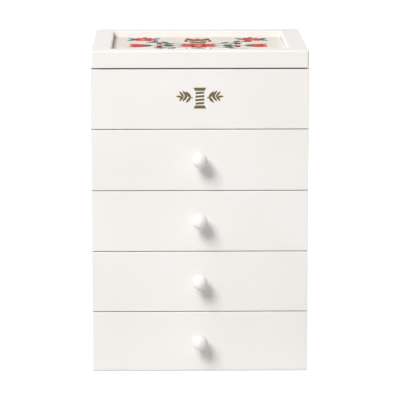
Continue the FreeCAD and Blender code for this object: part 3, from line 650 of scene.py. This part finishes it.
def turned_screw(bm, head, head_high, rim, shank, long, segments):
    """Screw that points down: a flat cap at the top, its head, and a shank that ends in a point."""
    before = len(bm.verts)
    ring = bmesh.ops.create_circle(bm, cap_ends=True, segments=segments, radius=head)["verts"]
    cap = list(ring[0].link_faces)
    edges = list(cap[0].edges)
    taper = long * 0.86
    point = shank * 0.2
    for drop, radius in ((rim, head), (head_high, shank), (taper, shank), (long, point)):
        grown = bmesh.ops.extrude_edge_only(bm, edges=edges)
        edges = [item for item in grown["geom"] if isinstance(item, bmesh.types.BMEdge)]
        for vert in grown_verts(grown):
            flat = Vector((vert.co.x, vert.co.y, 0)).normalized() * radius
            vert.co = Vector((flat.x, flat.y, -drop))
    bmesh.ops.holes_fill(bm, edges=edges, sides=segments)
    cut_cross(bm, cap, head)
    bm.verts.ensure_lookup_table()
    made = bm.verts[before:]
    bmesh.ops.recalc_face_normals(bm, faces=list({f for v in made for f in v.link_faces}))
    return made


def place_screw(bm, made, lean, degrees, place):
    """Turn a screw about its axis, lean it over and take it to its place."""
    twist = Matrix.Rotation(math.radians(degrees), 4, "Z")
    bmesh.ops.transform(bm, matrix=Matrix.Translation(place) @ lean @ twist, verts=made)


class THREADBOX_OT_drive_screws(bpy.types.Operator):
    """Make the hinge screws and the knob screws with their cross recesses"""

    bl_idname = "thread_box.drive_screws"
    bl_label = "Screws"

    def execute(self, context):
        colours = context.scene.box_metal
        brass = stamped_metal("brass_screw", colours.brass)
        steel = stamped_metal("plated_screw", colours.steel)
        for body, node, upside_down in (("cabinet", "hinge_body_screws", False),
                                        ("lid", "hinge_lid_screws", True)):
            bm = bmesh.new()
            lean = Matrix.Rotation(math.pi if upside_down else 0.0, 4, "X")
            for number, (low, high) in enumerate(islands_along_x(node, 2 * MM)):
                middle = (low + high) / 2
                middle.z = low.z if upside_down else high.z
                head = (high.x - low.x) / 2
                made = turned_screw(bm, head, head_high=head * 0.44, rim=head * 0.05,
                                    shank=head / 2, long=high.z - low.z, segments=18)
                place_screw(bm, made, lean, 20 + 37 * number, middle)
            piece = new_piece(f"{node}_driven", bm, body, "brass", brass)
            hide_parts(node)
        lean = Matrix.Rotation(math.radians(-90), 4, "X")
        knob_screws = sorted(name for name in NODES if name.endswith("_knob_screw"))
        for number, node in enumerate(knob_screws):
            low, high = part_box(node)
            middle = (low + high) / 2
            middle.y = high.y
            bm = bmesh.new()
            hole = (high.x - low.x) / 2
            made = turned_screw(bm, hole * 0.86, head_high=2.4 * MM, rim=0.6 * MM,
                                shank=hole / 2, long=high.y - low.y, segments=24)
            place_screw(bm, made, lean, 15 + 50 * number, middle)
            piece = new_piece(f"{node}_driven", bm, node.removesuffix("_knob_screw"), "steel", steel)
            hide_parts(node)
        return {"FINISHED"}


# ---------------- linen


CLOTH_COLUMNS, CLOTH_ROWS = 76, 68
# Waves of slack in the cloth, in radians per metre across and from front to back.
SLACK_ACROSS, SLACK_DEEP = 61, 47


class THREADBOX_OT_stretch_linen(bpy.types.Operator):
    """Stretch the linen over its board, a little uneven, with its edges turned down"""

    bl_idname = "thread_box.stretch_linen"
    bl_label = "Linen"

    def execute(self, context):
        linen = context.scene.box_linen
        low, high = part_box("embroidered_linen")
        size = high - low
        middle = (low + high) / 2
        turned_down = size.z * 0.25
        bm = bmesh.new()
        bmesh.ops.create_grid(bm, x_segments=CLOTH_COLUMNS, y_segments=CLOTH_ROWS, size=0.5)
        bmesh.ops.scale(bm, verts=bm.verts, vec=(size.x, size.y, 1.0))
        bmesh.ops.translate(bm, verts=bm.verts, vec=(middle.x, middle.y, high.z))
        for vert in bm.verts:
            edge = min(size.x / 2 - abs(vert.co.x - middle.x), size.y / 2 - abs(vert.co.y - middle.y))
            slack = math.sin(vert.co.x * SLACK_ACROSS + 1.3) * math.sin(vert.co.y * SLACK_DEEP + 0.4)
            vert.co.z -= linen.ripple * (0.5 + 0.5 * slack)
            if edge < size.z / 2:
                vert.co.z -= turned_down
        smooth(bm)
        piece = new_piece("stretched_linen", bm, "lid", "linen", linen_cloth(linen))
        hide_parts("embroidered_linen")
        thickness = piece.modifiers.new("thickness", "SOLIDIFY")
        thickness.thickness = size.z * 0.4
        thickness.offset = -1.0
        return {"FINISHED"}


# ---------------- stitches and knots


# In widths of the floss: the gap between rows of a stitch, the least half width of a row,
# what a stitch is longer than its two points are apart, and how uneven it is.
SATIN_GAP, SATIN_LEAST = 0.78, 0.3
FISHBONE_GAP, FISHBONE_LEAST = 1.05, 0.25
OVERLAP = 0.5
UNEVEN = 0.06
# In shares of the padding: the height of flatter stitches.
LEAF_HIGH, STEM_HIGH = 0.75, 0.6


def along(angle, distance):
    """Step of that distance in a direction of the cloth."""
    return Vector((math.cos(angle), math.sin(angle))) * distance


def rows(length, gap, fewest, start):
    """Shares of a length where rows of stitches lie: the first row is a share of a gap in."""
    count = max(fewest, round(length / gap))
    return [(row + start) / count for row in range(count)]


def seed_mesh(name, bm, thread_uv, shape):
    """Mesh to copy: it has a UV for the thread and a shade, and its points are shaped last."""
    uv = bm.loops.layers.uv.new("thread")
    bm.verts.layers.float.new("shade")
    smooth(bm)
    for face in bm.faces:
        for loop in face.loops:
            loop[uv].uv = thread_uv(loop.vert.co)
    for vert in bm.verts:
        shape(vert.co)
    mesh = bpy.data.meshes.new(name)
    bm.to_mesh(mesh)
    bm.free()
    return mesh


def seed_stitch():
    """One stitch of unit length along X: an arched length of floss that tapers at its ends."""
    bm = bmesh.new()
    bmesh.ops.create_cone(bm, cap_ends=True, segments=6, radius1=0.5, radius2=0.5, depth=1.0)
    bmesh.ops.rotate(bm, verts=bm.verts, matrix=Matrix.Rotation(math.pi / 2, 3, "Y"))
    lengthwise = [e for e in bm.edges if abs(e.verts[0].co.x - e.verts[1].co.x) > 0.5]
    bmesh.ops.subdivide_edges(bm, edges=lengthwise, cuts=3, use_grid_fill=True)

    def thread_uv(co):
        return co.x + 0.5, math.atan2(co.z, co.y) / math.tau

    def arch(co):
        """Taper the stitch towards its ends and lift its middle off the cloth."""
        end = (2 * co.x) ** 2
        co.y *= 1 - 0.35 * end
        co.z = co.z * (0.8 - 0.3 * end) + 0.75 * (1 - end)

    return seed_mesh("seed_stitch", bm, thread_uv, arch)


def seed_knot():
    """One knot of unit width: a low round bead with a dimple, closed below."""
    bm = bmesh.new()
    bmesh.ops.create_uvsphere(bm, u_segments=8, v_segments=6, radius=0.5)

    def thread_uv(co):
        return math.atan2(co.y, co.x) * 2, co.z

    def dimple(co):
        """Flatten the bead, set it on the cloth and dent its top."""
        co.z = co.z * 0.9 + 0.35
        if math.hypot(co.x, co.y) < 0.1 and co.z > 0.5:
            co.z -= 0.22

    return seed_mesh("seed_knot", bm, thread_uv, dimple)


class Sampler:
    """A needle at work on one piece: it lays stitches and ties knots on the cloth."""

    def __init__(self, context, seed):
        self.settings = context.scene.box_embroidery
        self.floss = self.settings.floss
        self.bm = bmesh.new()
        self.stitch = seed_stitch()
        self.knot = seed_knot()
        self.random = random.Random(seed)
        low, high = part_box("embroidered_linen")
        self.cloth = (low + high) / 2
        self.cloth.z = high.z - context.scene.box_linen.ripple

    def copy(self, seed, across, up, turn, size, thread):
        """Copy a seed mesh to a place on the cloth, turned and sized, in a shade of its own."""
        one = seed.copy()
        place = Matrix.Translation((self.cloth.x + across, self.cloth.y + up, self.cloth.z))
        one.transform(place @ Matrix.Rotation(turn, 4, "Z") @ Matrix.Diagonal((*size, 1.0)))
        tone = self.random.random()
        one.attributes["shade"].data.foreach_set("value", [tone] * len(one.vertices))
        one.polygons.foreach_set("material_index", [thread] * len(one.polygons))
        for loop in one.uv_layers["thread"].data:
            loop.uv.x *= size[0] / MM
        self.bm.from_mesh(one)
        bpy.data.meshes.remove(one)

    def lay(self, start, end, thread, high=1.0, wide=1.0):
        """One stitch between two points given in metres from the middle of the cloth."""
        step = end - start
        middle = (start + end) / 2
        jitter = self.random.uniform(-UNEVEN, UNEVEN) * self.floss
        width = self.floss * wide * self.random.uniform(1 - UNEVEN, 1 + UNEVEN)
        size = (step.length + self.floss * OVERLAP, width, self.settings.padding * high)
        turn = math.atan2(step.y, step.x)
        self.copy(self.stitch, middle.x + jitter, middle.y, turn, size, thread)

    def tie(self, spot, width, thread):
        """One knot."""
        turn = self.random.uniform(0, math.tau)
        self.copy(self.knot, spot.x, spot.y, turn, (width, width, width * 0.8), thread)

    def heart(self, middle, first, others, rings, twist, thread):
        """A knot and rings of others, in millimetres; a ring is turned by its radius times twist."""
        self.tie(middle, first * MM, thread)
        for radius, count in rings:
            for number in range(count):
                angle = math.tau * number / count + radius * twist
                self.tie(middle + along(angle, radius * MM), others * MM, thread)

    def petal(self, base, angle, length, width, thread, fullness=0.6, lean=0.25):
        """Petal in satin stitch across its length; fullness moves its widest part outwards."""
        side = along(angle + math.pi / 2, 1.0)
        bluntness = 0.65
        for t in rows(length, self.floss * SATIN_GAP, fewest=4, start=0.5):
            half = width / 2 * math.sin(math.pi * t**fullness) ** bluntness
            if half < self.floss * SATIN_LEAST:
                continue
            middle = base + along(angle, length * t)
            slant = along(angle, half * lean)
            self.lay(middle - side * half - slant, middle + side * half + slant, thread)

    def leaf(self, base, angle, length, width, thread, bend=0.0):
        """Leaf in fishbone stitch, two slanting rows that meet at its vein."""
        slant = math.radians(52)
        vein_length = 0.92
        fullness = 0.75
        bluntness = 0.8
        reach = 1.25
        for t in rows(length, self.floss * FISHBONE_GAP, fewest=5, start=0.4):
            heading = angle + bend * t
            vein = base + along(angle + bend * t / 2, length * t * vein_length)
            half = width / 2 * math.sin(math.pi * min(1.0, t**fullness)) ** bluntness
            if half < self.floss * FISHBONE_LEAST:
                continue
            for hand in (-1, 1):
                tip = vein + along(heading + hand * slant, half * reach)
                self.lay(vein, tip, thread, LEAF_HIGH)

    def stem(self, points, thread, wide=0.8):
        """Stem stitch along a line: short stitches that overlap by half."""
        for start, end in zip(points, points[2:]):
            self.lay(start, end, thread, STEM_HIGH, wide)

    def finish(self, name, *colours):
        """End the piece on the lid, with floss in the settings' colours of these names."""
        threads = []
        for colour in colours:
            material = bpy.data.materials.get(f"floss_{colour}")
            threads.append(material or floss(f"floss_{colour}", getattr(self.settings, colour)))
        new_piece(name, self.bm, "lid", "linen", *threads)
        bpy.data.meshes.remove(self.stitch)
        bpy.data.meshes.remove(self.knot)


# ---------------- the picture's lines


def curve_points(start, swing, end, step):
    """Points a step apart along a curved line that leaves its chord by a swing."""
    chord = end - start
    side = Vector((-chord.y, chord.x)).normalized()
    count = max(4, round(chord.length / step))
    points = []
    for i in range(count + 1):
        t = i / count
        points.append(start + chord * t + side * swing * math.sin(math.pi * t))
    return points


def direction(points, share):
    """Point at a share of a line and the heading there."""
    index = min(len(points) - 2, int(share * (len(points) - 1)))
    step = points[index + 1] - points[index]
    return points[index], math.atan2(step.y, step.x)


def branches():
    """The picture's lines: four arms from the middle, and a curl towards each corner."""
    low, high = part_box("embroidered_linen")
    half = (high - low) / 2
    step = 1.4 * MM
    arm_start, arm_across, arm_up = 20 * MM, half.x * 0.58, half.y * 0.54
    curl_start, curl_across, curl_up, swing = 15 * MM, half.x * 0.6, half.y * 0.6, 9 * MM
    arms = []
    for hand in (-1, 1):
        for start, end in (((arm_start, 0), (arm_across, 0)), ((0, arm_start), (0, arm_up))):
            arms.append(curve_points(hand * Vector(start), 0.0, hand * Vector(end), step))
    curls = []
    for across in (-1, 1):
        for up in (-1, 1):
            start = Vector((across * curl_start, up * curl_start))
            end = Vector((across * curl_across, up * curl_up))
            curls.append(curve_points(start, -across * up * swing, end, step))
    return arms, curls


def tendrils(arms):
    """Thin curls off the arms, each with the side that it bends to."""
    found = []
    for arm in arms:
        base, heading = direction(arm, 0.5)
        for hand in (-1, 1):
            end = base + along(heading + hand * 1.05, 19 * MM)
            found.append((curve_points(base, -hand * 4 * MM, end, 1.3 * MM), hand))
    return found


def blossom(curl):
    """Middle of the flower beyond the tip of a curl, and the heading there."""
    tip, heading = direction(curl, 1.0)
    return tip + along(heading, 11 * MM), heading


# ---------------- embroidery


class THREADBOX_OT_stitch_flowers(bpy.types.Operator):
    """Stitch the middle flower, the four tulips and the corner blossoms"""

    bl_idname = "thread_box.stitch_flowers"
    bl_label = "Flowers"

    def execute(self, context):
        sampler = Sampler(context, 11)
        red, deep, coral, rose = range(4)
        eighth = math.tau / 8
        for number in range(8):
            angle = number * eighth
            sampler.petal(along(angle, 13 * MM), angle, 14 * MM, 10.5 * MM, rose, fullness=0.7)
        for number in range(8):
            angle = (number + 0.5) * eighth
            thread = deep if number % 2 else red
            sampler.petal(along(angle, 5 * MM), angle, 19 * MM, 12.5 * MM, thread)
        arms, curls = branches()
        for arm in arms:
            tip, heading = direction(arm, 1.0)
            for hand in (-1, 1):
                start = tip + along(heading + hand * math.pi / 2, 3 * MM)
                sampler.petal(start, heading + hand * 0.4, 29 * MM, 13.5 * MM, red,
                              fullness=0.8, lean=0.35 * hand)
            start = tip + along(heading, 2 * MM)
            sampler.petal(start, heading, 24 * MM, 12 * MM, coral, fullness=0.75)
            start = tip + along(heading, 1 * MM)
            sampler.petal(start, heading, 12 * MM, 9 * MM, deep, fullness=0.8)
        for curl in curls:
            middle, heading = blossom(curl)
            for number in range(6):
                angle = heading + math.pi + math.tau * number / 6
                thread = coral if number % 2 else red
                sampler.petal(middle + along(angle, 3 * MM), angle, 15 * MM, 12 * MM, thread)
        sampler.finish("stitched_flowers", "red", "deep_red", "coral", "rose")
        return {"FINISHED"}


class THREADBOX_OT_stitch_leaves(bpy.types.Operator):
    """Stitch the leaves along the arms and curls and round the corner blossoms"""

    bl_idname = "thread_box.stitch_leaves"
    bl_label = "Leaves"

    def execute(self, context):
        sampler = Sampler(context, 23)
        green, teal = range(2)
        arms, curls = branches()
        for arm in arms:
            for share, length in ((0.3, 17), (0.92, 21)):
                base, heading = direction(arm, share)
                for hand in (-1, 1):
                    angle = heading + hand * 0.85
                    sampler.leaf(base, angle, length * MM, 9.5 * MM, green, -0.4 * hand)
        for curl in curls:
            for share, hand, length in ((0.24, 1, 18), (0.4, -1, 19), (0.6, 1, 19), (0.74, -1, 17)):
                base, heading = direction(curl, share)
                thread = teal if hand > 0 else green
                sampler.leaf(base, heading + hand * 0.8, length * MM, 9 * MM, thread, -0.4 * hand)
            middle, heading = blossom(curl)
            for turn in (-90, -30, 30, 90):
                angle = heading + math.radians(turn)
                sampler.leaf(middle + along(angle, 12 * MM), angle, 14 * MM, 7.5 * MM, teal)
        sampler.finish("stitched_leaves", "leaf", "teal")
        return {"FINISHED"}


class THREADBOX_OT_stitch_stems(bpy.types.Operator):
    """Stitch the stems and the tendrils that carry the berries"""

    bl_idname = "thread_box.stitch_stems"
    bl_label = "Stems"

    def execute(self, context):
        sampler = Sampler(context, 37)
        arms, curls = branches()
        for line in arms + curls:
            sampler.stem(line, 0)
        for tendril, _ in tendrils(arms):
            sampler.stem(tendril, 0, wide=0.6)
        sampler.finish("stitched_stems", "stem")
        return {"FINISHED"}


class THREADBOX_OT_tie_knots(bpy.types.Operator):
    """Tie the knots in the flowers and the berries on the tendrils"""

    bl_idname = "thread_box.tie_knots"
    bl_label = "Knots"

    def execute(self, context):
        sampler = Sampler(context, 41)
        straw, deep = range(2)
        rings = ((1.7, 6), (3.4, 12), (5.0, 17))
        sampler.heart(Vector((0, 0)), 1.9, 1.6, rings, twist=1.0, thread=straw)
        arms, curls = branches()
        for curl in curls:
            middle, _ = blossom(curl)
            sampler.heart(middle, 1.7, 1.5, ((1.6, 6), (3.0, 11)), twist=0.0, thread=straw)
        for tendril, hand in tendrils(arms):
            tip, heading = direction(tendril, 1.0)
            for turn, reach in ((0.0, 2.0), (1.3, 2.2), (-1.3, 2.2)):
                sampler.tie(tip + along(heading + turn * hand, reach * MM), 3 * MM, deep)
        sampler.finish("stitched_knots", "straw", "deep_red")
        return {"FINISHED"}


# ---------------- gilt ornament


class Print:
    """Flat printed shapes on the fixed front, given across and up from the print's middle."""

    def __init__(self, film):
        self.bm = bmesh.new()
        self.film = film

    def lift(self, face, coats):
        """Raise a flat face to a film of so many coats."""
        verts = grown_verts(bmesh.ops.extrude_face_region(self.bm, geom=[face]))
        bmesh.ops.translate(self.bm, verts=verts, vec=(0, -self.film * coats, 0))

    def shape(self, corners, coats=1.0):
        """Shape through its corners."""
        verts = [self.bm.verts.new((across, 0, up)) for across, up in corners]
        self.lift(self.bm.faces.new(verts), coats)

    def leaf(self, across, up, long, wide, turn, coats):
        """Leaf from its stalk end, turned from level, with a pointed tip."""
        ring = bmesh.ops.create_circle(self.bm, cap_ends=True, segments=20, radius=0.5)["verts"]
        face = ring[0].link_faces[0]
        for vert in ring:
            t = vert.co.x + 0.5
            vert.co = Vector((t * long, 0, vert.co.y * wide * (1 - 0.75 * t**3)))
        bmesh.ops.rotate(self.bm, verts=ring, matrix=Matrix.Rotation(-turn, 3, "Y"))
        bmesh.ops.translate(self.bm, verts=ring, vec=(across, 0, up))
        self.lift(face, coats)


def print_spool(ink, width, height):
    """Spool of thread: two flanges and the wound thread in bands between them."""
    flange = height * 0.15
    waist = width * 0.38
    for up in (-1, 1):
        edge = up * (height / 2 - flange)
        outer = up * height / 2
        ink.shape([(-width / 2, outer), (-waist, edge), (waist, edge), (width / 2, outer)])
    bands = 4
    gap = height * 0.035
    room = height - 2 * flange - gap
    band = room / bands - gap
    for number in range(bands):
        low = -height / 2 + flange + gap + number * (band + gap)
        belly = width * (0.33 + 0.03 * math.sin(math.pi * (number + 0.5) / bands))
        slope = band * 0.25
        high = low + band
        ink.shape([(-belly, low), (belly, low + slope), (belly, high), (-belly, high - slope)])


def print_sprig(ink, hand, start, reach, pairs):
    """Twig to one side with pairs of leaves and one leaf at its tip."""
    steps = 10
    tip = reach * 0.8
    rise = reach * 0.1

    def spine(t):
        return start + (tip - start) * t, rise * math.sin(math.pi * t * 0.8)

    def leaf(t, long, wide, lean, coats):
        across, up = spine(t)
        ink.leaf(hand * across, up, long, wide, lean if hand > 0 else math.pi - lean, coats)

    upper = []
    lower = []
    for i in range(steps + 1):
        across, up = spine(i / steps)
        thick = reach * 0.024 * (1 - 0.5 * i / steps)
        upper.append((hand * across, up + thick))
        lower.append((hand * across, up - thick))
    ink.shape(upper + lower[::-1], coats=1.4)
    for number in range(pairs):
        t = (number + 0.55) / pairs
        long = reach * (0.36 - 0.08 * t)
        for side in (-1, 1):
            leaf(t, long, wide=long * 0.36, lean=math.radians(50) * side, coats=1.0 + 0.15 * number)
    leaf(1.0, reach * 0.26, wide=reach * 0.1, lean=0.1, coats=1.2)


class THREADBOX_OT_print_ornament(bpy.types.Operator):
    """Print a gilt spool between two sprigs on the fixed front"""

    bl_idname = "thread_box.print_ornament"
    bl_label = "Gilt ornament"

    def execute(self, context):
        settings = context.scene.box_ornament
        low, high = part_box("compartment_front")
        middle = (low + high) / 2
        ink = Print(settings.film)
        spool_width = settings.height * 0.6
        print_spool(ink, spool_width, settings.height)
        for hand in (-1, 1):
            print_sprig(ink, hand, spool_width * 0.56, settings.width / 2, pairs=3)
        bm = ink.bm
        bmesh.ops.recalc_face_normals(bm, faces=bm.faces)
        bmesh.ops.translate(bm, verts=bm.verts, vec=(middle.x, low.y, middle.z + settings.rise))
        new_piece("gilt_ornament", bm, "cabinet", "brass", gilt_print(settings.gilt))
        return {"FINISHED"}


# ---------------- stage


# Half the floor's side, its place below the box, and the length of ray that passes through it.
FLOOR_REACH = 20.0
FLOOR_DROP = 0.2 * MM
NEAR_RAY = 5 * MM
WHITE = (1.0, 1.0, 1.0)
LAMP_WHITE = (1.0, 0.99, 0.975)


def floor_material(settings):
    """White floor that keeps a light shadow; it can't be seen from below or from very near."""
    material = bpy.data.materials.new("studio_floor")
    graph = Graph(emptied_tree(material))
    bounced = tinted(settings.floor, settings.floor_bounce)
    dimmed = tinted(settings.floor, settings.floor_shadow)
    plain = graph.add("ShaderNodeBsdfDiffuse", {"Color": bounced})
    seen = graph.add("ShaderNodeBsdfDiffuse", {"Color": dimmed})
    glow = graph.add("ShaderNodeEmission", {"Color": WHITE, "Strength": settings.floor_glow})
    lit = graph.add("ShaderNodeAddShader", {0: seen.outputs[0], 1: glow.outputs[0]})
    path = graph.add("ShaderNodeLightPath")
    above = graph.add("ShaderNodeMixShader", {
        0: graph.shown(path), 1: plain.outputs[0], 2: lit.outputs[0]})
    near = graph.maths("LESS_THAN", path.outputs["Ray Length"], NEAR_RAY)
    below = graph.add("ShaderNodeNewGeometry").outputs["Backfacing"]
    clear = graph.add("ShaderNodeBsdfTransparent")
    both = graph.add("ShaderNodeMixShader", {
        0: graph.maths("MAXIMUM", near, below), 1: above.outputs[0], 2: clear.outputs[0]})
    graph.add("ShaderNodeOutputMaterial", {"Surface": both.outputs[0]})
    return material


def light_world(settings):
    """Even white light from all round, which the camera sees as white."""
    world = bpy.data.worlds.new("studio")
    bpy.context.scene.world = world
    graph = Graph(emptied_tree(world))
    shown = graph.shown(graph.add("ShaderNodeLightPath"))
    light = graph.add("ShaderNodeBackground", {
        "Color": WHITE, "Strength": graph.remap(shown, 0.0, 1.0, settings.ambient)})
    graph.add("ShaderNodeOutputWorld", {"Surface": light.outputs[0]})


def softbox(name, settings, way, power):
    """Square softbox in a direction from the middle of the box, turned to face it."""
    lamp = bpy.data.lights.new(name, "AREA")
    lamp.shape = "SQUARE"
    lamp.size = settings.lamp_size
    lamp.energy = power
    lamp.color = LAMP_WHITE
    holder = bpy.data.objects.new(name, lamp)
    way = Vector(way).normalized()
    middle = (CAD_LOW + CAD_HIGH) / 2
    holder.location = middle + way * settings.lamp_distance
    holder.rotation_euler = way.to_track_quat("Z", "Y").to_euler()
    bpy.context.scene.collection.objects.link(holder)


def set_camera(settings):
    """Camera a little above the lid and to the left, looking slightly down."""
    lens = bpy.data.cameras.new("camera")
    lens.sensor_width = 36
    lens.lens = settings.camera_lens
    camera = bpy.data.objects.new("camera", lens)
    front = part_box("compartment_front")[0].y
    camera.location = (
        -settings.camera_side, front - settings.camera_distance, settings.camera_height)
    camera.rotation_euler = (math.pi / 2 - settings.camera_pitch, 0, -settings.camera_turn)
    bpy.context.scene.collection.objects.link(camera)
    bpy.context.scene.camera = camera


class THREADBOX_OT_set_stage(bpy.types.Operator):
    """Lay the floor and set the light and the camera"""

    bl_idname = "thread_box.set_stage"
    bl_label = "Stage"

    def execute(self, context):
        settings = context.scene.box_stage
        bm = bmesh.new()
        bmesh.ops.create_grid(bm, x_segments=1, y_segments=1, size=FLOOR_REACH)
        bmesh.ops.translate(bm, verts=bm.verts, vec=(0, 0, CAD_LOW.z - FLOOR_DROP))
        floor = new_object("floor", bm, floor_material(settings))
        light_world(settings)
        softbox("key", settings, (-0.66, -1.0, 1.12), settings.key_power)
        softbox("side", settings, (1.0, 0.45, 0.05), settings.side_power)
        softbox("back", settings, (-0.9, 1.0, 0.0), settings.back_power)
        set_camera(settings)
        context.scene.view_settings.view_transform = "Standard"
        return {"FINISHED"}


# ---------------- add-on


OPERATORS = (
    THREADBOX_OT_paint_boards,
    THREADBOX_OT_grain_boards,
    THREADBOX_OT_finish_metal,
    THREADBOX_OT_drive_screws,
    THREADBOX_OT_stretch_linen,
    THREADBOX_OT_stitch_flowers,
    THREADBOX_OT_stitch_leaves,
    THREADBOX_OT_stitch_stems,
    THREADBOX_OT_tie_knots,
    THREADBOX_OT_print_ornament,
    THREADBOX_OT_set_stage,
)


class THREADBOX_PT_finishes(bpy.types.Panel):
    """Buttons for the box's pieces, in the order in which they are made"""

    bl_idname = "THREADBOX_PT_finishes"
    bl_label = "Thread drawer box"
    bl_space_type = "VIEW_3D"
    bl_region_type = "UI"
    bl_category = "Thread Box"

    def draw(self, context):
        for operator in OPERATORS:
            self.layout.operator(operator.bl_idname)
        for name, kind in SETTINGS.items():
            box = self.layout.box()
            box.label(text=kind.__doc__)
            group = getattr(context.scene, name)
            for setting in kind.__annotations__:
                box.prop(group, setting)


CLASSES = (*SETTINGS.values(), *OPERATORS, THREADBOX_PT_finishes)


def register():
    """Register the settings, the operators and the panel."""
    for kind in CLASSES:
        bpy.utils.register_class(kind)
    for name, kind in SETTINGS.items():
        setattr(bpy.types.Scene, name, bpy.props.PointerProperty(type=kind))


def unregister():
    """Take the panel, the operators and the settings out again."""
    for name in SETTINGS:
        delattr(bpy.types.Scene, name)
    for kind in reversed(CLASSES):
        bpy.utils.unregister_class(kind)


def main():
    """Make every piece and the stage."""
    register()
    bpy.ops.thread_box.paint_boards()
    bpy.ops.thread_box.grain_boards()
    bpy.ops.thread_box.finish_metal()
    bpy.ops.thread_box.drive_screws()
    bpy.ops.thread_box.stretch_linen()
    bpy.ops.thread_box.stitch_flowers()
    bpy.ops.thread_box.stitch_leaves()
    bpy.ops.thread_box.stitch_stems()
    bpy.ops.thread_box.tie_knots()
    bpy.ops.thread_box.print_ornament()
    bpy.ops.thread_box.set_stage()


if __name__ == "__main__":
    main()
